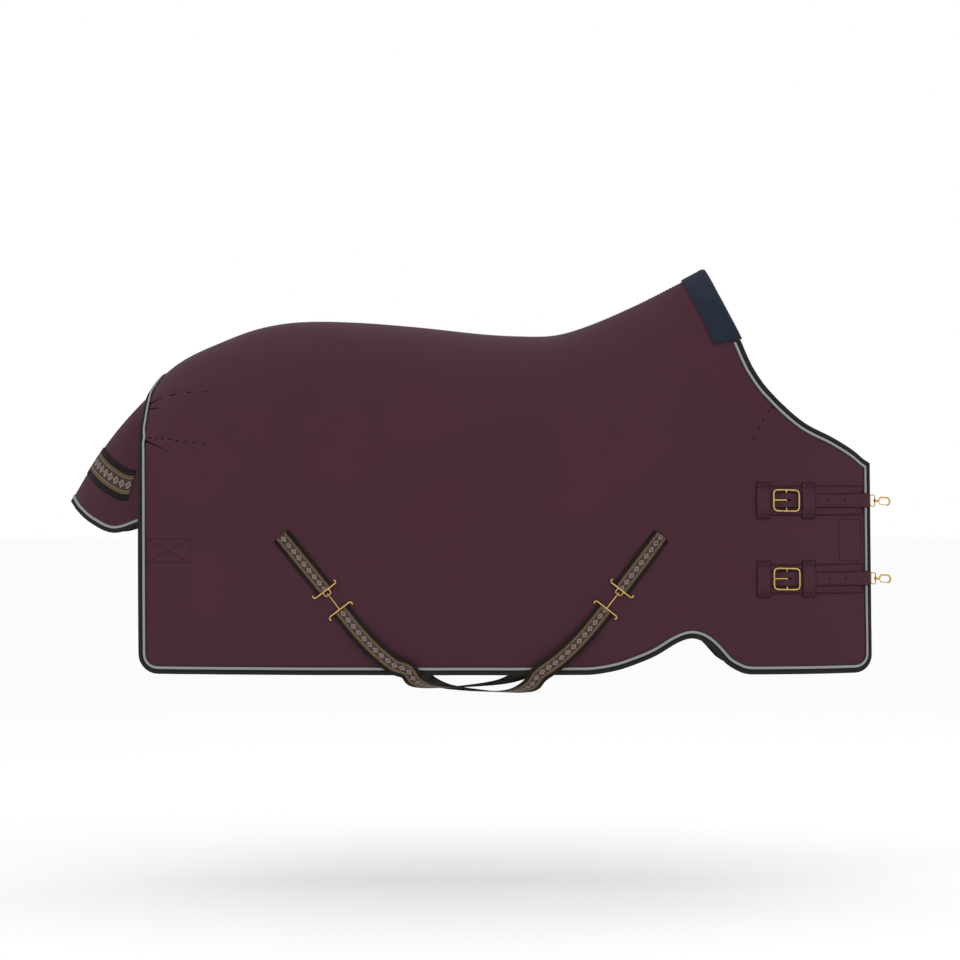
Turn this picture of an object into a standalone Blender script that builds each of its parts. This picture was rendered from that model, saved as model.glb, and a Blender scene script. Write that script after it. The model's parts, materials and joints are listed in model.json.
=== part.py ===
"""Turnout rug for a horse, as worn, with the chest open and the cross surcingles fastened.

Metres. +X points to the horse's head, +Y to its left, +Z up. The world origin is on the spine,
under the lining, where the rug rests on the horse's back.

The sheet is drawn in two numbers: d, the distance behind the front edge, and h, the height
above the hem. skin_y() gives the half width of the worn rug at each (d, h).
"""
from math import cos, pi, sin, sqrt, tau

import bmesh
import bpy
import numpy as np
from mathutils import Matrix, Vector

# ---------------------------------------------------------------- sizes
BODY_LENGTH = 1.9215
SEAM_FOOT = 0.3255
SEAM_TOP = 0.345
SEAM_TOP_H = 0.865
FRONT_CORNER = 0.045
REAR_CORNER = 0.050
SEAM_GAP = 0.0008
CLEAR = 0.0003
EDGE_CLEAR = 0.0011



def from_rear(table):
    """A table whose first numbers are distances ahead of the rear edge."""
    return [(BODY_LENGTH - row[0], *row[1:]) for row in table]


SPINE = [(0.10, 1.24), (0.4375, 1.0605), (0.504, 1.0255), (0.62, 0.967), (0.7455, 0.9135),
         (0.833, 0.889), (0.93, 0.887), (1.0255, 0.8925), (1.20, 0.911)]
SPINE += from_rear([(0.546, 0.924), (0.406, 0.924), (0.301, 0.9065), (0.196, 0.868),
                    (0.1015, 0.823), (0.0385, 0.7735), (-0.0085, 0.725)])
NECKLINE = [(0.0, 0.548), (0.0105, 0.553), (0.0455, 0.581), (0.098, 0.6125), (0.1855, 0.658),
            (0.273, 0.7385), (0.318, 0.803), (0.345, 0.865)]
ELBOW_CUT = [(0.30, 0.0), (0.3255, 0.0), (0.3465, 0.004), (0.3675, 0.014), (0.3885, 0.028),
             (0.4095, 0.053), (0.4305, 0.074), (0.4515, 0.088), (0.48, 0.0935), (0.5175, 0.081),
             (0.57, 0.050), (0.6225, 0.028), (0.6755, 0.011), (0.745, 0.0), (0.80, 0.0)]
NECK_EDGE = [(0.0, 0.3255), (0.865, 0.345), (0.96, 0.388), (1.0605, 0.4375), (1.20, 0.50)]
REAR_EDGE = [(h, BODY_LENGTH - ahead) for h, ahead in (
    (0.0, 0.0), (0.60, 0.0), (0.64, 0.001), (0.728, 0.014), (0.7735, 0.0385), (1.20, 0.0385))]
HALF_WIDTH = [(0.33, 0.250), (0.50, 0.264), (0.80, 0.294), (1.10, 0.308)]
HALF_WIDTH += from_rear([(0.5215, 0.300), (0.3215, 0.280), (0.1215, 0.246), (-0.0085, 0.214)])
ROUNDING = [(0.33, 0.50), (0.60, 0.42), (0.80, 0.37), (1.10, 0.34)]
ROUNDING += from_rear([(0.4215, 0.33), (-0.0085, 0.26)])
BACK_SHAPE = [(0.33, 1.5), (0.60, 1.6), (0.90, 2.0)] + from_rear([(-0.0085, 2.1)])
SHOULDER_FOOT_Y = 0.235
SHOULDER_TOP_Y = 0.150
WITHERS_ROUNDING = 0.22
CHEST_INWARD = 0.115
TUCK_IN = 0.022

MOUNT_D = 1.05
BODY_COLUMNS = [SEAM_FOOT, 0.4045, 0.452, 0.505, 0.57, 0.65, 0.745, 0.86, 0.96, MOUNT_D, 1.18,
                1.32]
BODY_COLUMNS += [BODY_LENGTH - ahead for ahead in (0.4615, 0.3215, 0.2015, 0.1015, 0.0365, 0.0)]
BODY_ROWS = [0.0, 0.16, 0.33, 0.50, 0.64, 0.735, 0.8157, 0.8945, 0.952, 0.9877]
PANEL_COLUMNS = [0.0, 0.036, 0.072, 0.108, 0.145, 0.181, 0.217, 0.253, 0.289, SEAM_FOOT]
PANEL_ROWS = [0.0, 0.08, 0.36, 0.64, 0.90, 1.0]

SHELL_T = 0.0012
WADDING_T = 0.0050
LINING_T = 0.0010
RUG_T = SHELL_T + WADDING_T + LINING_T + 2 * CLEAR

BINDING_WIDTH = 0.0100
BINDING_T = 0.0012
PIPING_WIDTH = 0.0080
PIPING_HEIGHT = 0.0032
PAD_T = 0.0070
PAD_START = 0.07
WEBBING_WIDTH = 0.050
WEBBING_T = 0.0020
PATCH_T = 0.0012

FLAP_T = 0.0016
FLAP_BAND_T = 0.0018

# Left chest: a patch, a webbing strap and two triangular rings, twice.
LEFT_UNITS = {"upper": 0.460, "lower": 0.2525}
PATCH_FRONT = 0.020
PATCH_BACK = 0.304
PATCH_HEIGHT = 0.078
RING_STRAP_BACK = 0.287
RING_STRAP_FRONT = 0.030
RING_BARS = {"front": 0.130, "rear": 0.256}
RING_LENGTH = 0.043
RING_HEIGHT = 0.045
RING_WIRE_R = 0.0019
RING_SIDE_ROOM = 0.00445
RING_STRAP_WIDTH = RING_HEIGHT - 4 * RING_WIRE_R - 2 * RING_SIDE_ROOM
RING_TILT = 0.28

# Right chest: a patch, a buckle, two keepers and a holed strap with a snap hook, twice.
RIGHT_UNITS = {"upper": 0.4500, "lower": 0.2450}
STRAP_WIDTH = 0.038
STRAP_BACK = 0.302
HOLE_PLACES = [0.072, 0.116]
HOLE_R = 0.003
KEEPER_HEIGHT = 0.095
KEEPER_T = 0.0016
KEEPER_WIDTH = 0.0355
KEEPER_GAP = 0.005
BUCKLE_MIDDLE = 0.230
BUCKLE_LENGTH = 0.074
BUCKLE_HEIGHT = 0.060
BUCKLE_ENDS = (BUCKLE_MIDDLE - BUCKLE_LENGTH / 2 - KEEPER_GAP,
               BUCKLE_MIDDLE + BUCKLE_LENGTH / 2 + KEEPER_GAP)
KEEPERS = {"rear": (BUCKLE_ENDS[1], BUCKLE_ENDS[1] + KEEPER_WIDTH),
           "front": (BUCKLE_ENDS[0] - KEEPER_WIDTH, BUCKLE_ENDS[0])}
SLOT_HALF = 0.0105
BUCKLE_BAR = 0.0050
BAR_R = 0.0020
BAR_LEVEL = 0.0058
SNAP_LENGTH = 0.067
SNAP_BAR = 0.0010
SNAP_WIRE_R = 0.0019
STRAP_FRONT = SNAP_BAR + SNAP_WIRE_R + CLEAR

# Cross surcingles.
CLIP_BAR = 0.072
CLIP_WIRE_R = 0.0024
CLIP_LINK_R = 0.0018
CLIP_EYE = 0.0140
CLIP_SPACING = 0.061
CROSS_GAP = 0.012

COLOURS = {
    "aubergine": (0.069, 0.023, 0.036), "fill": (0.62, 0.60, 0.56), "lining": (0.045, 0.040, 0.045),
    "charcoal": (0.021, 0.021, 0.019), "grey": (0.30, 0.30, 0.29), "navy": (0.019, 0.026, 0.044),
    "webbing": (0.030, 0.020, 0.015), "brass": (0.58, 0.40, 0.11), "velcro": (0.09, 0.065, 0.066),
}


# ---------------------------------------------------------------- scene
def clear_scene():
    for obj in list(bpy.data.objects):
        bpy.data.objects.remove(obj, do_unlink=True)


def new_collection(name):
    made = bpy.data.collections.new(name)
    bpy.context.scene.collection.children.link(made)
    return made


clear_scene()
PARTS = new_collection("turnout_rug")
CUTTERS = new_collection("cutters")


def material_for(name, colour, metal, rough):
    made = bpy.data.materials.new(name)
    made.use_nodes = True
    shader = made.node_tree.nodes["Principled BSDF"]
    shader.inputs["Base Color"].default_value = (*COLOURS[colour], 1.0)
    shader.inputs["Metallic"].default_value = metal
    shader.inputs["Roughness"].default_value = rough
    made.diffuse_color = (*COLOURS[colour], 1.0)
    return made


def solid(name, points, faces, colour, matrix=None, collection=None):
    """A closed mesh object. Points are in the object's own frame when a matrix is given."""
    build = bmesh.new()
    made = [build.verts.new(point) for point in points]
    for face in faces:
        build.faces.new([made[index] for index in face])
    bmesh.ops.recalc_face_normals(build, faces=build.faces)
    mesh = bpy.data.meshes.new(name)
    build.to_mesh(mesh)
    build.free()
    obj = bpy.data.objects.new(name, mesh)
    (collection or PARTS).objects.link(obj)
    if matrix is not None:
        obj.matrix_world = matrix
    if colour:
        metal = 1.0 if colour == "brass" else 0.0
        mesh.materials.append(material_for(name, colour, metal, 0.30 if metal else 0.85))
    return obj


def helper(name, points, faces, matrix):
    obj = solid(name, points, faces, None, matrix, CUTTERS)
    obj.hide_render = True
    obj.display_type = "WIRE"
    return obj


def boolean(obj, operation, others):
    for other in others:
        change = obj.modifiers.new(other.name, "BOOLEAN")
        change.operation = operation
        change.solver = "EXACT"
        change.object = other
    return obj


# ---------------------------------------------------------------- curves and the worn shape
def smooth(table, x):
    """A smooth curve through the table's points, by slopes at each point."""
    xs = [p[0] for p in table]
    ys = [p[1] for p in table]
    if x <= xs[0]:
        return ys[0]
    if x >= xs[-1]:
        return ys[-1]
    k = max(i for i in range(len(xs) - 1) if xs[i] <= x)
    slopes = []
    for i in (k, k + 1):
        a, b = max(i - 1, 0), min(i + 1, len(xs) - 1)
        slopes.append((ys[b] - ys[a]) / (xs[b] - xs[a]))
    span = xs[k + 1] - xs[k]
    t = (x - xs[k]) / span
    h00, h10 = 2 * t**3 - 3 * t**2 + 1, t**3 - 2 * t**2 + t
    h01, h11 = -2 * t**3 + 3 * t**2, t**3 - t**2
    return h00 * ys[k] + h10 * span * slopes[0] + h01 * ys[k + 1] + h11 * span * slopes[1]


def straight(table, x):
    return float(np.interp(x, [p[0] for p in table], [p[1] for p in table]))


def spine_h(d):
    if d < SPINE[1][0]:
        return straight(SPINE, d)
    return smooth(SPINE, d)


def hem_h(d):
    if d < FRONT_CORNER:
        return FRONT_CORNER - sqrt(FRONT_CORNER**2 - (FRONT_CORNER - d) ** 2)
    back = BODY_LENGTH - REAR_CORNER
    if d > back:
        reach = min(d - back, REAR_CORNER)
        return REAR_CORNER - sqrt(REAR_CORNER**2 - reach**2)
    return max(0.0, straight(ELBOW_CUT, d))


def quarter(depth, rounding, power):
    t = min(max(depth / rounding, 0.0), 1.0)
    return (1 - (1 - t) ** power) ** (1 / power)


def shoulder_y(h):
    return SHOULDER_FOOT_Y - (SHOULDER_FOOT_Y - SHOULDER_TOP_Y) * h / SEAM_TOP_H


def skin_y(d, h):
    """Half width of the worn body at (d, h)."""
    depth = spine_h(d) - h
    power = straight(BACK_SHAPE, d)
    rear = smooth(HALF_WIDTH, d) * quarter(depth, straight(ROUNDING, d), power)
    rear -= TUCK_IN * max(0.0, (0.45 - h) / 0.45) ** 1.5
    front = shoulder_y(h) * quarter(depth, WITHERS_ROUNDING, 1.5)
    t = min(max((d - SEAM_TOP) / 0.275, 0.0), 1.0)
    share = t * t * (3 - 2 * t)
    return front * (1 - share) + rear * share


def seam_d(h):
    return SEAM_FOOT + (SEAM_TOP - SEAM_FOOT) * h / SEAM_TOP_H


def panel_y(u, h):
    """Half width of a front panel: u is 0 at its front edge and 1 at the shoulder seam."""
    return shoulder_y(h) - CHEST_INWARD * (1 - u) ** 2


def raw(d, h, y):
    return np.array([-d, y, h])


def body_column(u):
    """Grid points of one side, from the hem to the spine."""
    def along(h):
        front = straight(NECK_EDGE, h) + SEAM_GAP / 2
        return (1 - u) * front + u * straight(REAR_EDGE, h)
    top = 0.9
    for _ in range(60):
        top = 0.5 * top + 0.5 * spine_h(along(top))
    bottom = hem_h(along(0.0)) if u < 1 else REAR_CORNER * (1 - cos(pi / 4))
    column = []
    for share in BODY_ROWS + [1.0]:
        h = bottom + (top - bottom) * share
        d = along(h)
        if u == 1 and share == 0:
            d = BODY_LENGTH - REAR_CORNER * (1 - cos(pi / 4))
        y = 0.0 if share == 1.0 else skin_y(d, h)
        column.append((d, h, y))
    return column


def panel_column(u):
    """Grid points of a front panel's column, from the hem to the neckline."""
    scale = 1 - SEAM_GAP / 2 / SEAM_FOOT
    top = 0.6
    for _ in range(60):
        top = 0.5 * top + 0.5 * smooth(NECKLINE, u * seam_d(top))
    low = FRONT_CORNER * (1 - cos(pi / 4))
    bottom = hem_h(u * SEAM_FOOT) if u > 0 else low
    column = []
    for share in PANEL_ROWS:
        h = bottom + (top - bottom) * share
        d = u * seam_d(h) * scale
        if u == 0 and share == 0:
            d = low
        if u == 0 and share == 1:
            d, h = 0.0055, h + 0.0005
        column.append((d, h, panel_y(d / seam_d(h), h)))
    return column


# ---------------------------------------------------------------- sheets
class Sheet:
    """A grid of points and unit normals. Every layer of the rug is an offset of one grid."""

    def __init__(self, points, outward):
        self.points = np.array(points)
        rows, columns = self.points.shape[:2]
        self.shape = (rows, columns)
        self.triangles = []
        for i in range(rows - 1):
            for j in range(columns - 1):
                a, b = i * columns + j, i * columns + j + 1
                c, e = a + columns, b + columns
                self.triangles += [(a, b, e), (a, e, c)]
        flat = self.points.reshape(-1, 3)
        normals = np.zeros_like(flat)
        for tri in self.triangles:
            a, b, c = flat[list(tri)]
            cross = np.cross(b - a, c - a)
            for index in tri:
                normals[index] += cross
        normals /= np.linalg.norm(normals, axis=1, keepdims=True)
        middle = (rows // 2) * columns + columns // 2
        if np.dot(normals[middle], outward) < 0:
            normals = -normals
        self.normals = normals.reshape(self.points.shape)

    def rim(self):
        rows, columns = self.shape
        loop = [(0, j) for j in range(columns)] + [(i, columns - 1) for i in range(1, rows)]
        loop += [(rows - 1, j) for j in range(columns - 2, -1, -1)]
        return loop + [(i, 0) for i in range(rows - 2, 0, -1)]

    def layer(self, name, low, high, colour):
        flat, normals = self.points.reshape(-1, 3), self.normals.reshape(-1, 3)
        count = len(flat)
        points = np.concatenate([flat + normals * high, flat + normals * low])
        faces = [tuple(t) for t in self.triangles]
        faces += [tuple(index + count for index in reversed(t)) for t in self.triangles]
        loop = [i * self.shape[1] + j for i, j in self.rim()]
        for a, b in zip(loop, loop[1:] + loop[:1]):
            faces.append((a, b, b + count, a + count))
        return solid(name, points, faces, colour)


def body_points():
    grid = []
    columns = [body_column((d - SEAM_FOOT) / (BODY_LENGTH - SEAM_FOOT)) for d in BODY_COLUMNS]
    rows = len(columns[0])
    for i in range(rows):
        grid.append([raw(d, h, y) for d, h, y in (column[i] for column in columns)])
    for i in range(rows - 2, -1, -1):
        grid.append([raw(d, h, -y) for d, h, y in (column[i] for column in columns)])
    return np.array(grid)


def panel_points(side):
    columns = [panel_column(d / SEAM_FOOT) for d in PANEL_COLUMNS]
    rows = len(columns[0])
    return np.array([[raw(d, h, side * y) for d, h, y in (c[i] for c in columns)]
                     for i in range(rows)])


def seam_normal(side):
    """Body and panels share this normal at the seam, so their edge faces stay parallel."""
    lean = (SHOULDER_FOOT_Y - SHOULDER_TOP_Y) / SEAM_TOP_H
    return np.array([0.0, side, lean]) / sqrt(1 + lean * lean)


def with_seam_normals(sheet, cells):
    for row, column, side in cells:
        sheet.normals[row, column] = seam_normal(side)
    return sheet


SHARED_ROWS = BODY_ROWS.index(0.8157) + 1
BODY_SEAM = [(i, 0, 1) for i in range(SHARED_ROWS)]
BODY_SEAM += [(2 * len(BODY_ROWS) - i, 0, -1) for i in range(SHARED_ROWS)]
RAW_BODY = Sheet(body_points(), (0, 0, 1))
SPINE_ROW = len(BODY_ROWS)
MOUNT_COLUMN = BODY_COLUMNS.index(MOUNT_D)
ORIGIN = RAW_BODY.points[SPINE_ROW, MOUNT_COLUMN] - RAW_BODY.normals[SPINE_ROW, MOUNT_COLUMN] * RUG_T
BODY = with_seam_normals(Sheet(RAW_BODY.points - ORIGIN, (0, 0, 1)), BODY_SEAM)
LEFT, RIGHT = 1, -1
PANEL = {side: with_seam_normals(Sheet(panel_points(side) - ORIGIN, (0, side, 0)),
                                 [(i, -1, side) for i in range(len(PANEL_ROWS))])
         for side in (LEFT, RIGHT)}
SIDE_NAME = {LEFT: "left", RIGHT: "right"}


def place(d, h, y):
    return raw(d, h, y) - ORIGIN


# ---------------------------------------------------------------- lofts
def loft(name, rings, colour, closed=False, matrix=None, collection=None, turned=()):
    """Joins equal rings of points into one body, with flat caps on an open one.

    turned lists the ring places whose side faces split along their other diagonal."""
    size = len(rings[0])
    points = [point for ring in rings for point in ring]
    faces = []
    count = len(rings)
    for k in range(count if closed else count - 1):
        after = (k + 1) % count
        for i in range(size):
            j = (i + 1) % size
            a, b, c, e = k * size + i, k * size + j, after * size + j, after * size + i
            faces += [(a, b, e), (b, c, e)] if i in turned else [(a, b, c), (a, c, e)]
    if not closed:
        faces.append(tuple(range(size)))
        faces.append(tuple((count - 1) * size + i for i in reversed(range(size))))
    if colour is None:
        return helper(name, points, faces, matrix)
    return solid(name, points, faces, colour, matrix, collection)


def unit(v):
    v = np.array(v, float)
    return v / np.linalg.norm(v)


def edge_rings(path, section):
    """path: (point, normal, outward) of an edge. section: (out, up) pairs."""
    return [[p + out * a + n * b for a, b in section] for p, n, out in path]


def edge_path(sheet, cells, ends=None):
    """Rim points with the direction that leads off the sheet, in the sheet's own plane.

    ends are the cells behind the first and last rim cells: there the direction follows the seam."""
    points = [sheet.points[c] for c in cells]
    normals = [sheet.normals[c] for c in cells]
    centre = sheet.points.reshape(-1, 3).mean(axis=0)
    path = []
    for k, point in enumerate(points):
        before, after = points[max(k - 1, 0)], points[min(k + 1, len(points) - 1)]
        out = unit(np.cross(unit(after - before), normals[k]))
        path.append([point, normals[k], out])
    middle = path[len(path) // 2]
    if np.dot(middle[2], middle[0] - centre) < 0:
        for step in path:
            step[2] = -step[2]
    if ends:
        for step, behind in ((path[0], ends[0]), (path[-1], ends[1])):
            step[2] = unit(step[0] - sheet.points[behind])
    return path


def binding_section(width, thick, sheet_t):
    gap = EDGE_CLEAR
    out, low = gap + thick, -sheet_t
    return [(-width, gap), (-width, gap + thick), (gap, gap + thick), (out, gap * 0.4),
            (out, low - gap * 0.4), (gap, low - gap - thick), (-width, low - gap - thick),
            (-width, low - gap), (gap, low - gap), (gap, gap)]


def piping_section(binding_width, sides=6):
    """A flat oval just inside the binding."""
    half, rise = PIPING_WIDTH / 2, PIPING_HEIGHT / 2
    middle, level = -binding_width - 0.0005 - half, EDGE_CLEAR + rise
    return [(middle + half * cos(tau * k / sides), level + rise * sin(tau * k / sides))
            for k in range(sides)]


def make_rug_layers():
    names = [("body", BODY), ("front_left", PANEL[LEFT]), ("front_right", PANEL[RIGHT])]
    for name, sheet in names:
        sheet.layer(f"shell_{name}", -SHELL_T, 0, "aubergine")
        low = -SHELL_T - CLEAR - WADDING_T
        sheet.layer(f"wadding_{name}", low, -SHELL_T - CLEAR, "fill")
        sheet.layer(f"lining_{name}", -RUG_T, low - CLEAR, "lining")


def body_edge_cells():
    rows, columns = BODY.shape
    loop = [(0, j) for j in range(columns)] + [(i, columns - 1) for i in range(1, rows)]
    return loop + [(rows - 1, j) for j in range(columns - 2, -1, -1)]


def panel_edge_cells():
    rows, columns = PANEL[LEFT].shape
    loop = [(rows - 1, j) for j in range(columns - 1, -1, -1)]
    return loop + [(i, 0) for i in range(rows - 2, -1, -1)] + [(0, j) for j in range(1, columns)]


def make_edges(name, sheet, cells, ends):
    path = edge_path(sheet, cells, ends)
    section = binding_section(BINDING_WIDTH, BINDING_T, RUG_T)
    loft(f"binding_{name}", edge_rings(path, section), "charcoal")
    loft(f"piping_{name}", edge_rings(path, piping_section(BINDING_WIDTH)), "grey")


def make_withers_pad():
    """Fleece folded over the neck edge: one leaf on the shell, one under the lining."""
    first = BODY_ROWS.index(0.8157)
    rows = BODY.shape[0]
    up, low = EDGE_CLEAR, -RUG_T - EDGE_CLEAR
    steps = [first + PAD_START] + list(range(first + 1, rows - first - 1))
    rings = []
    for step in steps + [rows - first - 1 - PAD_START]:
        i = min(int(step), rows - 2)
        share = step - i
        p0, p1, n0, n1 = [grid[i, j] * (1 - share) + grid[i + 1, j] * share
                          for grid in (BODY.points, BODY.normals) for j in (0, 1)]
        out = unit(p0 - p1)

        def at(back, level):
            t = back / np.linalg.norm(p1 - p0)
            return p0 + (p1 - p0) * t + (n0 * (1 - t) + n1 * t) * level

        wide = np.linalg.norm(p1 - p0)
        rings.append([
            at(wide, up), at(wide, up + PAD_T * 0.55), at(wide - 0.010, up + PAD_T),
            at(0, up + PAD_T), at(0, up + PAD_T * 0.5) + out * 0.006,
            at(0, low * 0.5) + out * 0.008, at(0, low - PAD_T * 0.5) + out * 0.006,
            at(0, low - PAD_T), at(wide, low - PAD_T * 0.8), at(wide, low),
            at(0, low) + out * EDGE_CLEAR, at(0, up) + out * EDGE_CLEAR])
    loft("withers_pad", rings, "navy", turned=(9,))


# ---------------------------------------------------------------- tail flap
FLAP_ACROSS = [-1.0, -0.75, -0.5, -0.25, 0.0, 0.25, 0.5, 0.75, 1.0]
FLAP_DOWN = [0.0, 0.10, 0.32, 0.60, 0.80, 1.0]
FLAP_TOP = [(0.0, -0.0595, 0.7775, 0.0), (0.5, -0.058, 0.7725, 0.030),
            (1.0, -0.0535, 0.758, 0.058)]
FLAP_HEM = [(0.0, 0.196, 0.448, 0.0), (0.25, 0.1765, 0.421, 0.052), (0.5, 0.1365, 0.392, 0.094),
            (0.75, 0.0705, 0.367, 0.130), (1.0, -0.0095, 0.392, 0.156)]
FLAP_BULGE = 0.020


def flap_points():
    """Its tables give (share across, distance behind the rear edge, height, half width)."""
    grid = []
    for p in FLAP_DOWN:
        row = []
        for q in FLAP_ACROSS:
            top = [straight([(t[0], t[k]) for t in FLAP_TOP], abs(q)) for k in (1, 2, 3)]
            hem = [straight([(t[0], t[k]) for t in FLAP_HEM], abs(q)) for k in (1, 2, 3)]
            d, h, y = [a + (b - a) * p for a, b in zip(top, hem)]
            swell = FLAP_BULGE * sin(pi * p) * cos(q * pi / 2)
            point = BODY_LENGTH + d + 0.8 * swell, h + 0.6 * swell, (y if q >= 0 else -y)
            row.append(place(*point))
        grid.append(row)
    return np.array(grid)


def make_tail_flap():
    flap = Sheet(flap_points(), (-1, 0, 0.5))
    flap.layer("tail_flap", -FLAP_T, 0, "aubergine")
    rows, columns = flap.shape
    cells = [(i, 0) for i in range(2, rows)] + [(rows - 1, j) for j in range(1, columns)]
    cells += [(i, columns - 1) for i in range(rows - 2, 1, -1)]
    path = edge_path(flap, cells)
    section = binding_section(BINDING_WIDTH * 0.8, BINDING_T, FLAP_T)
    loft("tail_flap_binding", edge_rings(path, section), "charcoal")
    hem = path[rows - 3: rows + columns - 3]
    piping = piping_section(BINDING_WIDTH * 0.8)
    loft("tail_flap_piping", edge_rings(hem[1:-1], piping), "grey")
    rings = []
    for j in range(1, columns - 1):
        a, b = 3, 4
        pa, na = flap.points[a, j], flap.normals[a, j]
        pb, nb = flap.points[b, j], flap.normals[b, j]
        low, high = 2 * CLEAR, 2 * CLEAR + FLAP_BAND_T
        rings.append([pa + na * low, pb + nb * low, pb + nb * high, pa + na * high])
    loft("tail_flap_band", rings, "webbing", turned=(2,))


# ---------------------------------------------------------------- pieces on the front panels
def panel_at(side, d, h):
    """Point and normal on a front panel's facets."""
    u = d / seam_d(h)
    crossings = [c / SEAM_FOOT * (1 - SEAM_GAP / 2 / SEAM_FOOT) for c in PANEL_COLUMNS]
    k = min(max(np.searchsorted(crossings, u) - 1, 0), len(crossings) - 2)
    t = (u - crossings[k]) / (crossings[k + 1] - crossings[k])
    ends = [place(c * seam_d(h), h, side * panel_y(c, h)) for c in crossings[k:k + 2]]
    point = ends[0] + (ends[1] - ends[0]) * t
    slope = 2 * CHEST_INWARD * (1 - u) / seam_d(h)
    lean = (SHOULDER_FOOT_Y - SHOULDER_TOP_Y) / SEAM_TOP_H
    return point, unit((slope, side, lean))


def panel_stations(start, stop, h, more=()):
    crossings = [c / SEAM_FOOT * seam_d(h) for c in PANEL_COLUMNS]
    inside = [c for c in list(crossings) + list(more) if start + 1e-4 < c < stop - 1e-4]
    return [start] + sorted(inside) + [stop]


def panel_strip(name, side, h, height, start, stop, level, thick, colour, humps=(), lift=None):
    """A flat strip along a front panel. humps: (d, half length, extra height) where it arches.

    lift is (d, d, extra height): the strip is raised ahead of the first d and down by the second."""
    extra = list(lift[:2]) if lift else []
    for middle, half, _ in humps:
        extra += [middle - half, middle - half * 0.4, middle + half * 0.4, middle + half]
    rings = []
    for d in panel_stations(start, stop, h, extra):
        low = level
        for middle, half, rise in humps:
            away = abs(d - middle) / half
            if away < 1:
                low += rise * min(1.0, (1 - away) / 0.6)
        if lift:
            low += lift[2] * min(max((lift[1] - d) / (lift[1] - lift[0]), 0.0), 1.0)
        ring = []
        for side_h, up in ((h - height / 2, low), (h + height / 2, low),
                           (h + height / 2, low + thick), (h - height / 2, low + thick)):
            point, normal = panel_at(side, d, side_h)
            ring.append(point + normal * up)
        rings.append(ring)
    return loft(name, rings, colour, turned=(2,))


def frame_at(point, normal, forward):
    """A matrix whose X runs along the strap, Z off the surface and Y across."""
    z = Vector(normal).normalized()
    x = Vector(forward)
    x = (x - z * x.dot(z)).normalized()
    y = z.cross(x)
    return Matrix.Translation(Vector(point)) @ Matrix((x, y, z)).transposed().to_4x4()


def panel_frame(side, d, h, level):
    point, normal = panel_at(side, d, h)
    return frame_at(point + normal * level, normal, (1, 0, 0))


def wire(points, r, sides, closed=False):
    """Rings of a round wire along points that lie in the local XY plane."""
    rings = []
    count = len(points)
    for k, p in enumerate(points):
        before = points[(k - 1) % count] if closed or k > 0 else p
        after = points[(k + 1) % count] if closed or k < count - 1 else p
        step = unit(np.array(after) - np.array(before))
        across = np.array([-step[1], step[0], 0.0])
        centre = np.array([p[0], p[1], 0.0])
        rings.append([tuple(centre + across * r * cos(tau * i / sides)
                            + np.array([0, 0, r * sin(tau * i / sides)])) for i in range(sides)])
    return rings


def cylinder_rings(start, stop, r, sides, axis):
    """Rings of a rod between two places on a local axis: 0 is X, 1 is Y, 2 is Z."""
    rings = []
    for place_on_axis in (start[axis], stop):
        ring = []
        for i in range(sides):
            point = [0.0, 0.0, 0.0]
            a, b = [k for k in range(3) if k != axis]
            point[axis] = place_on_axis
            point[a] = start[a] + r * cos(tau * i / sides)
            point[b] = start[b] + r * sin(tau * i / sides)
            ring.append(tuple(point))
        rings.append(ring)
    return rings


def box_rings(low, high):
    rings = []
    for x in (low[0], high[0]):
        rings.append([(x, low[1], low[2]), (x, high[1], low[2]), (x, high[1], high[2]),
                      (x, low[1], high[2])])
    return rings


def make_velcro():
    loop = PATCH_T
    panel_strip("velcro_left", LEFT, 0.362, 0.066, 0.027, 0.184, CLEAR + 0.0002, loop, "velcro")
    level = -RUG_T - CLEAR - 0.0002 - PATCH_T
    panel_strip("velcro_right", RIGHT, 0.346, 0.113, 0.025, 0.088, level, PATCH_T, "velcro")


def triangle_ring():
    """A triangular ring whose straight bar lies on local Y and whose point faces +X."""
    half, length, corner = RING_HEIGHT / 2 - RING_WIRE_R, RING_LENGTH - 2 * RING_WIRE_R, 0.004
    ends = [(0, -half), (0, half), (length, 0)]
    path = []
    for k, p in enumerate(ends):
        before, after = np.array(ends[k - 1]), np.array(ends[(k + 1) % 3])
        here = np.array(p, float)
        a, b = unit(before - here) * corner, unit(after - here) * corner
        path += [tuple(here + a), tuple(here + (a + b) * 0.32), tuple(here + b)]
    return wire(path, RING_WIRE_R, 6, closed=True)


def make_left_chest():
    level = CLEAR + 0.0002
    on_patch = level + PATCH_T + CLEAR
    bar_level = on_patch + RING_WIRE_R + 0.0001
    rise = 2 * RING_WIRE_R + 0.0006
    for unit_name, h in LEFT_UNITS.items():
        panel_strip(f"chest_patch_left_{unit_name}", LEFT, h, PATCH_HEIGHT, PATCH_FRONT,
                    PATCH_BACK, level, PATCH_T, "aubergine")
        humps = [(bar, 0.0078, rise) for bar in RING_BARS.values()]
        panel_strip(f"ring_strap_{unit_name}", LEFT, h, RING_STRAP_WIDTH, RING_STRAP_FRONT,
                    RING_STRAP_BACK, on_patch, WEBBING_T, "aubergine", humps)
        for place_name, d in RING_BARS.items():
            point, normal = panel_at(LEFT, d, h)
            turn = Matrix.Rotation(-RING_TILT, 4, "Y")
            matrix = frame_at(point + normal * bar_level, normal, (1, 0, 0)) @ turn
            loft(f"ring_{unit_name}_{place_name}", triangle_ring(), "brass", True, matrix)


def rounded_rectangle(length, height, corner):
    path = []
    for sx, sy, start in ((1, 1, 0), (-1, 1, 1), (-1, -1, 2), (1, -1, 3)):
        for k in range(3):
            angle = (start + k / 2) * pi / 2
            path.append((sx * (length / 2 - corner) + corner * cos(angle),
                         sy * (height / 2 - corner) + corner * sin(angle)))
    return path


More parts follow.
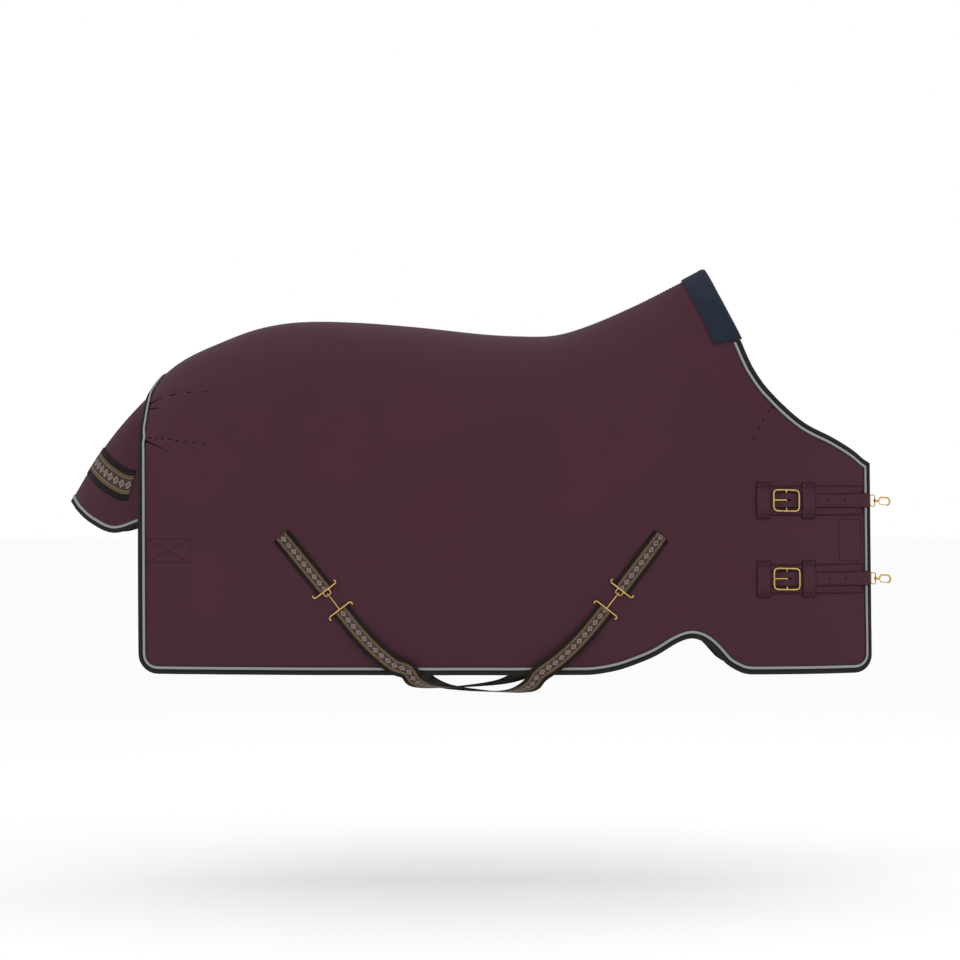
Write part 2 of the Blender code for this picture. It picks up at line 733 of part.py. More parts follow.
def make_buckle(unit_name, matrix):
    """Frame, centre bar and tongue. Local Z is 0 at the centre bar's axis."""
    outline = rounded_rectangle(BUCKLE_LENGTH - BUCKLE_BAR, BUCKLE_HEIGHT - BUCKLE_BAR, 0.009)
    frame = loft(f"buckle_{unit_name}", wire(outline, BUCKLE_BAR / 2, 8, True), "brass", True,
                 matrix)
    reach = BUCKLE_HEIGHT / 2 - BUCKLE_BAR / 2
    bar = loft(f"bar_{unit_name}", cylinder_rings((0, -reach, 0), reach, BAR_R, 8, 1), None,
               matrix=matrix)
    boolean(frame, "UNION", [bar])


def make_tongue(unit_name, matrix):
    """A pin looped on the centre bar. It rises through the strap and lies back on the frame."""
    inner, thick = BAR_R + CLEAR, 0.0016
    outer = inner + thick
    top = 0.0098
    tip = -(BUCKLE_LENGTH / 2 - 0.0005)
    rest = BUCKLE_BAR / 2 + 0.0004
    hook = [(-outer * cos(a) , -outer * sin(a)) for a in (0.0, 0.6, 1.2, 1.8, 2.4, pi)]
    back = [(-inner * cos(a), -inner * sin(a)) for a in (pi, 2.4, 1.8, 1.2, 0.6, 0.0)]
    outline = [(-outer, top - 0.004)] + hook + [(outer, 0.0012), (inner, 0.0012)] + back
    outline += [(-inner, top - 0.002), (-inner + 0.0006, top + thick), (-outer - 0.002, top + thick),
                (tip, rest + thick), (tip, rest), (-outer - 0.003, top)]
    rings = [[(x, y, z) for x, z in outline] for y in (-0.0018, 0.0018)]
    return loft(f"tongue_{unit_name}", rings, "brass", False, matrix)


def make_keeper(name, d0, d1, h, level, top):
    """A webbing strip that arches over the strap, with both its ends sewn to the patch."""
    half, wing = STRAP_WIDTH / 2 + 0.0022, KEEPER_HEIGHT / 2
    outer = [(-wing, 0), (-half - 0.002, 0), (-half, top), (half, top), (half + 0.002, 0), (wing, 0)]
    rings = []
    for d in panel_stations(d0, d1, h):
        low = [(a, b + level) for a, b in outer]
        high = [(a, b + level + KEEPER_T) for a, b in reversed(outer)]
        ring = []
        for across, up in low + high:
            point, normal = panel_at(RIGHT, d, h + across)
            ring.append(point + normal * up)
        rings.append(ring)
    return loft(name, rings, "aubergine")


def snap_hook(name, matrix):
    """Eye, barrel and hook in one casting. The eye's bar lies on local Y; the nose faces +X."""
    eye = rounded_rectangle(0.0160, 0.0300, 0.004)
    eye = [(x + 0.0160 / 2, y) for x, y in eye]
    ring = loft(name, wire(eye, SNAP_WIRE_R, 6, True), "brass", True, matrix)
    barrel = loft(name + "_barrel", cylinder_rings((0.0142, 0, 0), 0.0300, 0.0042, 8, 0), None,
                  matrix=matrix)
    nose = SNAP_LENGTH - SNAP_BAR + 0.0020
    path = [(0.0275, 0), (0.0315, 0.0045), (0.036, 0.0098), (nose - 0.010, 0.0105),
            (nose - 0.003, 0.0075), (nose, 0.0), (nose - 0.003, -0.0068), (nose - 0.009, -0.0098)]
    hook = loft(name + "_hook", wire(path, 0.0027, 8), None, matrix=matrix)
    return boolean(ring, "UNION", [barrel, hook])


def snap_gate(name, matrix):
    """The sprung rod that closes the hook, turning beside the barrel."""
    nose = SNAP_LENGTH - SNAP_BAR + 0.0020
    path = [(0.0, 0.0), (0.004, -0.0035), (nose - 0.0110 - 0.0305, -0.0045)]
    return loft(name, wire(path, 0.0017, 6), "brass", False, matrix)


def make_right_chest():
    level = CLEAR + 0.0002
    on_patch = level + PATCH_T + CLEAR
    strap_level = on_patch
    for unit_name, h in RIGHT_UNITS.items():
        panel_strip(f"chest_patch_right_{unit_name}", RIGHT, h, PATCH_HEIGHT, PATCH_FRONT,
                    PATCH_BACK, level, PATCH_T, "aubergine")
        bar_level = on_patch + BAR_R + CLEAR + 0.0016 + 0.0010
        buckle_matrix = panel_frame(RIGHT, BUCKLE_MIDDLE, h, bar_level)
        rise = bar_level + BAR_R + CLEAR + 0.0016 + 0.0006 - strap_level
        eye_level = EDGE_CLEAR + BINDING_T + CLEAR + SNAP_WIRE_R
        piping_top = EDGE_CLEAR + PIPING_HEIGHT + CLEAR
        lift = (0.024, 0.045, piping_top - strap_level)
        humps = [(BUCKLE_MIDDLE, 0.024, rise)]
        strap = panel_strip(f"chest_strap_{unit_name}", RIGHT, h, STRAP_WIDTH, STRAP_FRONT,
                            STRAP_BACK, strap_level, WEBBING_T, "aubergine", humps, lift)
        holes = []
        for k, d in enumerate(HOLE_PLACES):
            matrix = panel_frame(RIGHT, d, h, strap_level)
            rings = cylinder_rings((0, 0, -0.002), 0.006, HOLE_R, 10, 2)
            holes.append(loft(f"hole_{unit_name}_{k}", rings, None, matrix=matrix))
        slot = box_rings((-SLOT_HALF, -0.0026, 0.002), (SLOT_HALF, 0.0026, 0.016))
        holes.append(loft(f"slot_{unit_name}", slot, None, matrix=buckle_matrix))
        boolean(strap, "DIFFERENCE", holes)
        make_buckle(unit_name, buckle_matrix)
        make_tongue(unit_name, buckle_matrix)
        for place_name, (d0, d1) in KEEPERS.items():
            make_keeper(f"keeper_{unit_name}_{place_name}", d0, d1, h, on_patch,
                        WEBBING_T + CLEAR + 0.0006)
        snap_matrix = panel_frame(RIGHT, SNAP_BAR, h, eye_level)
        snap_hook(f"snap_{unit_name}", snap_matrix)
        gate_matrix = snap_matrix @ Matrix.Translation((0.0305, -0.0052, 0))
        snap_gate(f"snap_gate_{unit_name}", gate_matrix)


# ---------------------------------------------------------------- cross surcingles
def body_at(side, d, h):
    """Point and normal on the body's facets, by the triangle that (d, h) lies in."""
    flat = BODY.points.reshape(-1, 3)
    normals = BODY.normals.reshape(-1, 3)
    target = place(d, h, 0)[[0, 2]]
    rows, columns = BODY.shape
    for tri in BODY.triangles:
        corners = flat[list(tri)]
        if (corners[:, 1] * side).min() < 0.02:
            continue
        a, b, c = corners[:, [0, 2]]
        matrix = np.array([b - a, c - a]).T
        if abs(np.linalg.det(matrix)) < 1e-12:
            continue
        s, t = np.linalg.solve(matrix, target - a)
        if s > -1e-6 and t > -1e-6 and s + t < 1 + 1e-6:
            weights = np.array([1 - s - t, s, t])
            return weights @ corners, unit(weights @ normals[list(tri)])
    raise ValueError(f"({d}, {h}) is off the body")


STUB_TOP = {"front": (0.560, 0.360), "rear": (BODY_LENGTH - 0.3755, 0.360)}
CLIP_ONE = {"front": (0.666, 0.2195), "rear": (BODY_LENGTH - 0.4915, 0.218)}
CLIP_TWO = {"front": (0.7035, 0.1715), "rear": (BODY_LENGTH - 0.5295, 0.168)}
HEM_CROSSING = {"front": (0.885, 0.0), "rear": (BODY_LENGTH - 0.7095, 0.0)}
CROSSING_D = (HEM_CROSSING["front"][0] + HEM_CROSSING["rear"][0]) / 2
HEM_RISE = 0.0075 + 0.17 * WEBBING_WIDTH
STUB_LEVEL = 0.0020
CLIP_LEVEL = STUB_LEVEL + WEBBING_T + CLEAR + CLIP_WIRE_R


def web_ring(point, normal, across, low, high):
    half = across * WEBBING_WIDTH / 2
    return [point - half + normal * low, point + half + normal * low,
            point + half + normal * high, point - half + normal * high]


def make_stub(end, side):
    top, low = np.array(STUB_TOP[end]), np.array(CLIP_ONE[end])
    rings = []
    for t in np.linspace(0, 1, 6):
        d, h = top + (low - top) * t
        point, normal = body_at(side, d, h)
        run = unit(place(*low, 0) - place(*top, 0))
        across = unit(np.cross(normal, run))
        rings.append(web_ring(point, normal, across, STUB_LEVEL, STUB_LEVEL + WEBBING_T))
    return loft(f"stub_{end}_{SIDE_NAME[side]}", rings, "webbing", turned=(2,))


def clip_bar(back):
    """A wire bar across the strap. Its ends curl along the strap: back is their sign along X."""
    half = CLIP_BAR / 2
    one = [(0.0, half - 0.004), (back * 0.0025, half - 0.0005), (back * 0.0065, half),
           (back * 0.0095, half - 0.0020)]
    return wire([(x, -y) for x, y in reversed(one)] + one, CLIP_WIRE_R, 6)


def clip_frame(end, side, which):
    one, two = np.array(CLIP_ONE[end]), np.array(CLIP_TWO[end])
    centre = one if which == 1 else two
    point, normal = body_at(side, *centre)
    if which == 2:
        first, normal = body_at(side, *one)
        run = place(*two, 0) - place(*one, 0)
        run = run - normal * np.dot(run, normal)
        point = first + unit(run) * CLIP_SPACING
    return frame_at(point + normal * CLIP_LEVEL, normal, place(*two, 0) - place(*one, 0))


def make_clips(end, side):
    name = f"{end}_{SIDE_NAME[side]}"
    one = clip_frame(end, side, 1)
    female = loft(f"clip_female_{name}", clip_bar(-1), "brass", False, one)
    eye = [(x + CLIP_EYE / 2, y) for x, y in rounded_rectangle(CLIP_EYE, 0.018, 0.004)]
    eye = loft(f"clip_eye_{name}", wire(eye, CLIP_LINK_R, 6, True), None, True, one)
    boolean(female, "UNION", [eye])
    two = clip_frame(end, side, 2)
    male = loft(f"clip_male_{name}", clip_bar(1), "brass", False, two)
    bar = CLIP_EYE - CLIP_SPACING
    over = 2 * CLIP_LINK_R + 0.0006
    spine = [(0.0, 0.0), (bar + 0.017, 0.0002), (bar + 0.006, 0.0015), (bar + 0.0025, over),
             (bar - 0.0020, over), (bar - 0.0046, over * 0.6), (bar - 0.0048, -0.0010)]
    rings = [[(x, y, z) for x, z, y in ring] for ring in wire(spine, CLIP_LINK_R, 6)]
    hook = loft(f"clip_hook_{name}", rings, None, matrix=two)
    boolean(male, "UNION", [hook])


def surcingle_path(front_side, drop):
    """Centre line and webbing normal from the front clip on one side to the rear clip on the other."""
    points, normals = [], []
    ends = (("front", front_side, 1), ("rear", -front_side, -1))
    halves = []
    for end, side, _ in ends:
        one, two = np.array(CLIP_ONE[end]), np.array(CLIP_TWO[end])
        hem = HEM_CROSSING[end]
        half = []
        frame = clip_frame(end, side, 2)
        start = np.array(frame.translation)
        normal = np.array(frame.to_3x3().col[2])
        along = np.array(frame.to_3x3().col[0])
        under = CLIP_WIRE_R + CLEAR + WEBBING_T
        half.append((start - normal * under - along * 0.002, normal))
        for t in (0.14, 0.34, 0.56, 0.78):
            d = two[0] + (hem[0] - two[0]) * t
            h = two[1] + (hem[1] - two[1]) * t - 0.018 * sin(pi * t)
            point, n = body_at(side, d, h)
            half.append((point + n * (0.0016 + HEM_RISE * t), n))
        rim = half[-1][0]
        for share, y_share, h, lean in ((0.05, 1.0, 0.012, 0.25), (0.16, 0.955, -0.013, 0.65),
                                        (0.34, 0.80, -0.030, 1.1), (0.62, 0.45, -0.040, 1.4)):
            d = hem[0] - (hem[0] - two[0]) * 0.08 + (CROSSING_D - hem[0]) * share
            y = rim[1] * y_share
            n = unit((0, side * cos(lean), -sin(lean)))
            half.append((place(d, h + drop, 0) * (1, 0, 1) + np.array([0, y, 0]), n))
        halves.append(half)
    centre = place(CROSSING_D, -0.043 + drop, 0)
    path = halves[0] + [(centre, np.array([0, 0, -1.0]))] + halves[1][::-1]
    return path


def make_surcingle(name, front_side, drop):
    path = surcingle_path(front_side, drop)
    rings = []
    for k, (point, normal) in enumerate(path):
        before, after = path[max(k - 1, 0)][0], path[min(k + 1, len(path) - 1)][0]
        run = unit(after - before)
        normal = unit(normal - run * np.dot(normal, run))
        across = unit(np.cross(normal, run))
        rings.append(web_ring(point, normal, across, 0.0, WEBBING_T))
    return loft(name, rings, "webbing", turned=(2,))


def main():
    make_rug_layers()
    rows, columns = BODY.shape
    make_edges("body", BODY, body_edge_cells(), ((1, 0), (rows - 2, 0)))
    rows, columns = PANEL[LEFT].shape
    for side in (LEFT, RIGHT):
        ends = ((rows - 2, columns - 1), (1, columns - 1))
        make_edges(f"front_{SIDE_NAME[side]}", PANEL[side], panel_edge_cells(), ends)
    make_withers_pad()
    make_tail_flap()
    make_velcro()
    make_left_chest()
    make_right_chest()
    for side in (LEFT, RIGHT):
        for end in ("front", "rear"):
            make_stub(end, side)
            make_clips(end, side)
    make_surcingle("surcingle_left_to_right", LEFT, 0.0)
    make_surcingle("surcingle_right_to_left", RIGHT, -CROSS_GAP)


main()
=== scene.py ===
# %% [markdown]
# # A turnout rug for a horse
#
# This script dresses the plain solid model of a turnout rug in real cloth, webbing and brass.
# The solid model is loaded first and stays where it is: it is the frame that each soft piece
# hangs on. Each soft piece is then made again as cloth, with its weave, its stitching and its
# folds, and takes the place of the plain solid.

# %% Load the frame
import json

from math import cos, exp, pi, radians, sin, sqrt, tau

import bmesh
import bpy
import numpy as np
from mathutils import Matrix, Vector, noise
from mathutils.bvhtree import BVHTree

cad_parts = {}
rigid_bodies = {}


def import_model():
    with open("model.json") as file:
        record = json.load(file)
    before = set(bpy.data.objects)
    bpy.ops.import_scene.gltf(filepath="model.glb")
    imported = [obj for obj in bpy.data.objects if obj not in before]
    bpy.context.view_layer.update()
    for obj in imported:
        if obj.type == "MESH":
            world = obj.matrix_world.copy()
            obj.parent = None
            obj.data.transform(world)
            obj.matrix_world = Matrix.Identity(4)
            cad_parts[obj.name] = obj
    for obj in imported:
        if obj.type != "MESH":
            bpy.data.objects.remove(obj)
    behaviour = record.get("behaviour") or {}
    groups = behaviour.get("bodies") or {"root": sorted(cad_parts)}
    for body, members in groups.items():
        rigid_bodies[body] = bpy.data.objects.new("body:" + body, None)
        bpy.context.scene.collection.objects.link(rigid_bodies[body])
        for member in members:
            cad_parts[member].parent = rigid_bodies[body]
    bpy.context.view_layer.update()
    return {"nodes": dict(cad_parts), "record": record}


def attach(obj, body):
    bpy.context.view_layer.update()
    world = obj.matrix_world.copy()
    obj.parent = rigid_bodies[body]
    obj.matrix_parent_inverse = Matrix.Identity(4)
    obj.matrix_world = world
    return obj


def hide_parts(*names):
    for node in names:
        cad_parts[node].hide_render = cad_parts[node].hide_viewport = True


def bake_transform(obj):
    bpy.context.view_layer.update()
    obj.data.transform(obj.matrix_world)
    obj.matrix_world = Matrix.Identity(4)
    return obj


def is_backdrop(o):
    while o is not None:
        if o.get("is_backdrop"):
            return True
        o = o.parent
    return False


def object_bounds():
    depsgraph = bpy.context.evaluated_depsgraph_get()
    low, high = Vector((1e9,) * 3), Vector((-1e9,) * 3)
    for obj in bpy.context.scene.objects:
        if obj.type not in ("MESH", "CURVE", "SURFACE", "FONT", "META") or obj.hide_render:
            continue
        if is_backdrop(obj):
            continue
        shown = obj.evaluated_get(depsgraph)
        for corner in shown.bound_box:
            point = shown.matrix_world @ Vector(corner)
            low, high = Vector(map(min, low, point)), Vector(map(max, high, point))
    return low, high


for startup in list(bpy.data.objects):
    bpy.data.objects.remove(startup)
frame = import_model()
print("nodes in the frame:", len(frame["nodes"]))

# %% [markdown]
# ## The shape of a worn rug
#
# A rug is cut flat but hangs in the shape of the horse. Two numbers place any point of it:
# d, the distance behind the front edge, and h, the height above the hem. The side outline
# comes from a few points joined by smooth curves. The width at each place comes from the half
# width of the horse there and from how round its back is.

# %% Outline tables, in metres
BODY_LENGTH, SEAM_FOOT, SEAM_TOP, SEAM_TOP_H = 1.9215, 0.3255, 0.345, 0.865
FRONT_CORNER, REAR_CORNER = 0.045, 0.050
SPINE = [(0.10, 1.24), (0.4375, 1.0605), (0.504, 1.0255), (0.62, 0.967), (0.7455, 0.9135),
         (0.833, 0.889), (0.93, 0.887), (1.0255, 0.8925), (1.20, 0.911), (1.3755, 0.924),
         (1.5155, 0.924), (1.6205, 0.9065), (1.7255, 0.868), (1.82, 0.823), (1.883, 0.7735),
         (1.93, 0.725)]
NECKLINE = [(0.0, 0.548), (0.0105, 0.553), (0.0455, 0.581), (0.098, 0.6125), (0.1855, 0.658),
            (0.273, 0.7385), (0.318, 0.803), (0.345, 0.865)]
ELBOW_CUT = [(0.30, 0.0), (0.3255, 0.0), (0.3465, 0.004), (0.3675, 0.014), (0.3885, 0.028),
             (0.4095, 0.053), (0.4305, 0.074), (0.4515, 0.088), (0.48, 0.0935), (0.5175, 0.081),
             (0.57, 0.050), (0.6225, 0.028), (0.6755, 0.011), (0.745, 0.0), (0.80, 0.0)]
NECK_EDGE = [(0.0, 0.3255), (0.865, 0.345), (0.96, 0.388), (1.0605, 0.4375), (1.20, 0.50)]
REAR_EDGE = [(0.0, 1.9215), (0.60, 1.9215), (0.64, 1.9205), (0.728, 1.9075), (0.7735, 1.883),
             (1.20, 1.883)]
HALF_WIDTH = [(0.33, 0.250), (0.50, 0.264), (0.80, 0.294), (1.10, 0.308), (1.40, 0.300),
              (1.60, 0.280), (1.80, 0.246), (1.93, 0.214)]
ROUNDING = [(0.33, 0.50), (0.60, 0.42), (0.80, 0.37), (1.10, 0.34), (1.50, 0.33), (1.93, 0.26)]
BACK_SHAPE = [(0.33, 1.5), (0.60, 1.6), (0.90, 2.0), (1.93, 2.1)]
SHOULDER_FOOT, SHOULDER_LEAN, CHEST_DRAW = 0.235, 0.085, 0.115
NECK_ROUNDING, NECK_SHAPE, SHOULDER_BAND = 0.22, 1.5, 0.275
HEM_DRAW, HEM_DRAW_BELOW = 0.022, 0.45


def smooth(table, x):
    """A smooth curve through the table's points."""
    xs, ys = [p[0] for p in table], [p[1] for p in table]
    if x <= xs[0]:
        return ys[0]
    if x >= xs[-1]:
        return ys[-1]
    k = max(i for i in range(len(xs) - 1) if xs[i] <= x)
    slopes = []
    for i in (k, k + 1):
        a, b = max(i - 1, 0), min(i + 1, len(xs) - 1)
        slopes.append((ys[b] - ys[a]) / (xs[b] - xs[a]))
    span = xs[k + 1] - xs[k]
    t = (x - xs[k]) / span
    return ((2 * t**3 - 3 * t**2 + 1) * ys[k] + (t**3 - 2 * t**2 + t) * span * slopes[0]
            + (3 * t**2 - 2 * t**3) * ys[k + 1] + (t**3 - t**2) * span * slopes[1])


def straight(table, x):
    return float(np.interp(x, [p[0] for p in table], [p[1] for p in table]))


def ease(t):
    t = min(max(t, 0.0), 1.0)
    return t * t * (3 - 2 * t)


# %% Half width of the worn rug at (d, h)
def spine_h(d):
    return straight(SPINE, d) if d < 0.4375 else smooth(SPINE, d)


def hem_h(d):
    if d < FRONT_CORNER:
        return FRONT_CORNER - sqrt(max(FRONT_CORNER**2 - (FRONT_CORNER - d) ** 2, 0))
    reach = min(d - BODY_LENGTH + REAR_CORNER, REAR_CORNER)
    if reach > 0:
        return REAR_CORNER - sqrt(max(REAR_CORNER**2 - reach**2, 0))
    return max(0.0, smooth(ELBOW_CUT, d))


def quarter(depth, rounding, power):
    t = min(max(depth / rounding, 0.0), 1.0)
    return (1 - (1 - t) ** power) ** (1 / power)


def shoulder_y(h):
    return SHOULDER_FOOT - SHOULDER_LEAN * h / SEAM_TOP_H


def seam_d(h):
    return SEAM_FOOT + (SEAM_TOP - SEAM_FOOT) * h / SEAM_TOP_H


def half_width(d, h):
    """Distance of the cloth from the middle plane."""
    if d < seam_d(h) and h < SEAM_TOP_H:
        return shoulder_y(h) - CHEST_DRAW * (1 - d / seam_d(h)) ** 2
    depth = spine_h(d) - h
    rear = smooth(HALF_WIDTH, d) * quarter(depth, straight(ROUNDING, d), straight(BACK_SHAPE, d))
    rear -= HEM_DRAW * max(0.0, (HEM_DRAW_BELOW - h) / HEM_DRAW_BELOW) ** 1.5
    front = shoulder_y(h) * quarter(depth, NECK_ROUNDING, NECK_SHAPE)
    share = ease((d - SEAM_TOP) / SHOULDER_BAND)
    return front * (1 - share) + rear * share


MOUNT_X, MOUNT_H = 1.05154, 0.88715


def place(d, h, y):
    """World position: the origin is under the lining, on the spine."""
    return np.array([MOUNT_X - d, y, h - MOUNT_H])


def unit(v):
    v = np.array(v, float)
    return v / max(np.linalg.norm(v), 1e-12)


# %% [markdown]
# ## Soft folds
#
# Cloth that hangs from the back never lies quite flat: it falls in long shallow waves that
# grow towards the hem, and it draws in a little where a dart is sewn. The waves here are smooth
# noise, stretched along the height. They fade to nothing under the straps and the chest
# fastenings, which keep the cloth flat. A simulation of the whole rug would move the cloth off
# its fittings, so the folds are placed by formula.

# %% Waves, darts and quiet places
DARTS = {
    "shoulder": [(0.2485, 0.708), (0.272, 0.686), (0.297, 0.648), (0.314, 0.612), (0.3255, 0.5775)],
    "rump_upper": [(1.901, 0.7035), (1.86, 0.722), (1.81, 0.732), (1.765, 0.7355), (1.715, 0.735)],
    "rump_upper_fold": [(1.905, 0.688), (1.88, 0.6925), (1.8655, 0.690)],
    "rump_lower": [(1.914, 0.616), (1.86, 0.612), (1.81, 0.606), (1.765, 0.600), (1.7255, 0.595)],
    "rump_lower_fold": [(1.915, 0.610), (1.885, 0.598), (1.8375, 0.5775)],
}
DART_REACH, DART_DEPTH, CREASE_DEPTH, DART_SWELL, DART_GROOVE = 0.08, 0.0030, 0.0012, 0.024, 0.007
QUIET = [(0.615, 0.29, 0.09), (0.685, 0.195, 0.08), (1.485, 0.29, 0.09), (1.411, 0.193, 0.08)]
WAVE_HEIGHT, RIPPLE_HEIGHT, WAVES_BELOW, WAVES_FADE = 0.0050, 0.0013, 0.80, 0.75


def near_line(line, d, h):
    best = 1.0
    for (a, b), (c, e) in zip(line, line[1:]):
        t = min(max(((d - a) * (c - a) + (h - b) * (e - b)) / ((c - a)**2 + (e - b)**2), 0), 1)
        best = min(best, sqrt((a + (c - a) * t - d) ** 2 + (b + (e - b) * t - h) ** 2))
    return best


def calm(d, h):
    """0 under the fastenings, 1 well away from them."""
    share = 1.0
    for x, y, reach in QUIET:
        share *= ease((sqrt((d - x) ** 2 + (h - y) ** 2) - reach) / 0.10)
    chest = ease((0.40 - d) / 0.07) * ease((h - 0.10) / 0.06) * ease((0.58 - h) / 0.06)
    return share * (1 - chest) * ease((spine_h(d) - h) / 0.30)


def fold(side, d, h):
    """How far the cloth stands off the smooth shape."""
    low = ease((WAVES_BELOW - h) / WAVES_FADE)
    wave = noise.noise(Vector((d * 5.2 + side, h * 0.8, side * 5.3)))
    small = noise.noise(Vector((d * 15.0, h * 3.4 + 7, side * 3.1)))
    height = calm(d, h) * (WAVE_HEIGHT * low * wave + RIPPLE_HEIGHT * small)
    if d < 0.40 or d > 1.60:
        for name, line in DARTS.items():
            away = near_line(line, d, h)
            if away < DART_REACH:
                deep = CREASE_DEPTH if name.endswith("fold") else DART_DEPTH
                height += deep * (0.6 * exp(-(away / DART_SWELL) ** 2)
                                  - exp(-(away / DART_GROOVE) ** 2))
    return height


def cloth_normal(side, d, h):
    step = 0.0015
    inside = min(h, spine_h(d) - 2 * step)
    along = (half_width(d + step, inside) - half_width(d - step, inside)) / (2 * step)
    up = (half_width(d, inside + step) - half_width(d, inside - step)) / (2 * step)
    return unit((along, side, -up))


def on_cloth(side, d, h, level=0.0):
    """A point on the finished cloth, raised by level, and the direction off the cloth."""
    normal = cloth_normal(side, d, h)
    return place(d, h, side * half_width(d, h)) + normal * (fold(side, d, h) + level), normal


# %% [markdown]
# ## Shader effects
#
# Several finishes share the same effects, so each effect is a node group: a weave of two
# crossing sets of threads, a slow change of tone as in worn or sun-faded cloth, and fine
# scratches. Each group has named inputs, and each material sets its own values. The weave
# works in metres along the cloth, so the threads keep their real size on every piece.

# %% Node helpers
def start_group(name, inputs, outputs):
    tree = bpy.data.node_groups.new(name, "ShaderNodeTree")
    for label, value in inputs.items():
        kind = "NodeSocketVector" if value is None else "NodeSocketFloat"
        kind = "NodeSocketColor" if isinstance(value, tuple) else kind
        socket = tree.interface.new_socket(name=label, in_out="INPUT", socket_type=kind)
        if value is not None:
            socket.default_value = value
    for label, kind in outputs.items():
        tree.interface.new_socket(name=label, in_out="OUTPUT", socket_type=kind)
    return tree, tree.nodes.new("NodeGroupInput"), tree.nodes.new("NodeGroupOutput")


def feed(tree, made, inputs):
    """Each input is a plain value or the socket that feeds it."""
    for name, value in inputs.items():
        if isinstance(value, bpy.types.NodeSocket):
            tree.links.new(value, made.inputs[name])
        else:
            made.inputs[name].default_value = value
    return made


def node(tree, kind, inputs=None, **settings):
    made = tree.nodes.new(kind)
    for name, value in settings.items():
        setattr(made, name, value)
    return feed(tree, made, inputs or {})


def calc(tree, operation, a, b=0.0, c=0.0):
    return node(tree, "ShaderNodeMath", {0: a, 1: b, 2: c}, operation=operation).outputs[0]


def mix(tree, factor, a, b):
    return node(tree, "ShaderNodeMix", {0: factor, 6: a, 7: b}, data_type="RGBA").outputs[2]


def start_material(name, follows="UV"):
    """A material, its nodes, its shader, and the places that its patterns follow."""
    made = bpy.data.materials.new(name)
    made.use_nodes = True
    tree = made.node_tree
    where = node(tree, "ShaderNodeTexCoord").outputs[follows]
    return made, tree, tree.nodes["Principled BSDF"], where


def dress(tree, shader, height, depth, strength, inputs):
    """Feeds the shader, with a bump as deep as given."""
    bump = node(tree, "ShaderNodeBump", {"Height": height, "Distance": depth,
                                         "Strength": strength})
    feed(tree, shader, {"Normal": bump.outputs[0], **inputs})


# %% Weave: two crossing sets of threads
def make_weave():
    tree, given, out = start_group(
        "weave", {"Place": None, "Threads per metre": 900.0, "Slant": 0.0, "Unevenness": 0.3},
        {"Height": "NodeSocketFloat", "Gap shade": "NodeSocketFloat"})
    uneven = node(tree, "ShaderNodeTexNoise", {"Vector": given.outputs["Place"], "Scale": 160.0,
                                               "Detail": 2.0})
    shift = calc(tree, "MULTIPLY", uneven.outputs["Fac"], given.outputs["Unevenness"])
    apart = node(tree, "ShaderNodeSeparateXYZ", {"Vector": given.outputs["Place"]})
    x = calc(tree, "MULTIPLY", apart.outputs["X"], given.outputs["Threads per metre"])
    y = calc(tree, "MULTIPLY", apart.outputs["Y"], given.outputs["Threads per metre"])
    x = calc(tree, "ADD", x, calc(tree, "MULTIPLY", y, given.outputs["Slant"]))
    x, y = calc(tree, "ADD", x, shift), calc(tree, "ADD", y, shift)
    warp = calc(tree, "ABSOLUTE", calc(tree, "SINE", calc(tree, "MULTIPLY", x, pi)))
    weft = calc(tree, "ABSOLUTE", calc(tree, "SINE", calc(tree, "MULTIPLY", y, pi)))
    over = calc(tree, "SINE", calc(tree, "MULTIPLY", calc(tree, "ADD", x, y), pi))
    over = calc(tree, "GREATER_THAN", over, 0.0)
    high = calc(tree, "ADD", calc(tree, "MULTIPLY", warp, over),
                calc(tree, "MULTIPLY", weft, calc(tree, "SUBTRACT", 1.0, over)))
    # The gaps between threads, where the finishes paint shade.
    gap_shade_mask = calc(tree, "SUBTRACT", 1.0, calc(tree, "MULTIPLY", warp, weft))
    feed(tree, out, {"Height": high, "Gap shade": gap_shade_mask})
    return tree


weave_group = make_weave()


# %% Tone: slow changes of colour over the cloth
def make_tone():
    tree, given, out = start_group(
        "tone", {"Place": None, "Base": (0.5, 0.5, 0.5, 1), "Faded": (0.6, 0.6, 0.6, 1),
                 "Patch size": 3.0, "Amount": 0.5, "Roughness": 0.6, "Roughness change": 0.1},
        {"Colour": "NodeSocketColor", "Roughness": "NodeSocketFloat"})
    broad = node(tree, "ShaderNodeTexNoise", {"Vector": given.outputs["Place"],
                                              "Scale": given.outputs["Patch size"],
                                              "Detail": 5.0, "Roughness": 0.6})
    mask = calc(tree, "MULTIPLY", calc(tree, "SUBTRACT", broad.outputs["Fac"], 0.38), 3.2)
    mask = node(tree, "ShaderNodeClamp", {"Value": mask}).outputs[0]
    share = calc(tree, "MULTIPLY", mask, given.outputs["Amount"])
    colour = mix(tree, share, given.outputs["Base"], given.outputs["Faded"])
    rough = calc(tree, "MULTIPLY_ADD", mask, given.outputs["Roughness change"],
                 given.outputs["Roughness"])
    feed(tree, out, {"Colour": colour, "Roughness": rough})
    return tree


tone_group = make_tone()


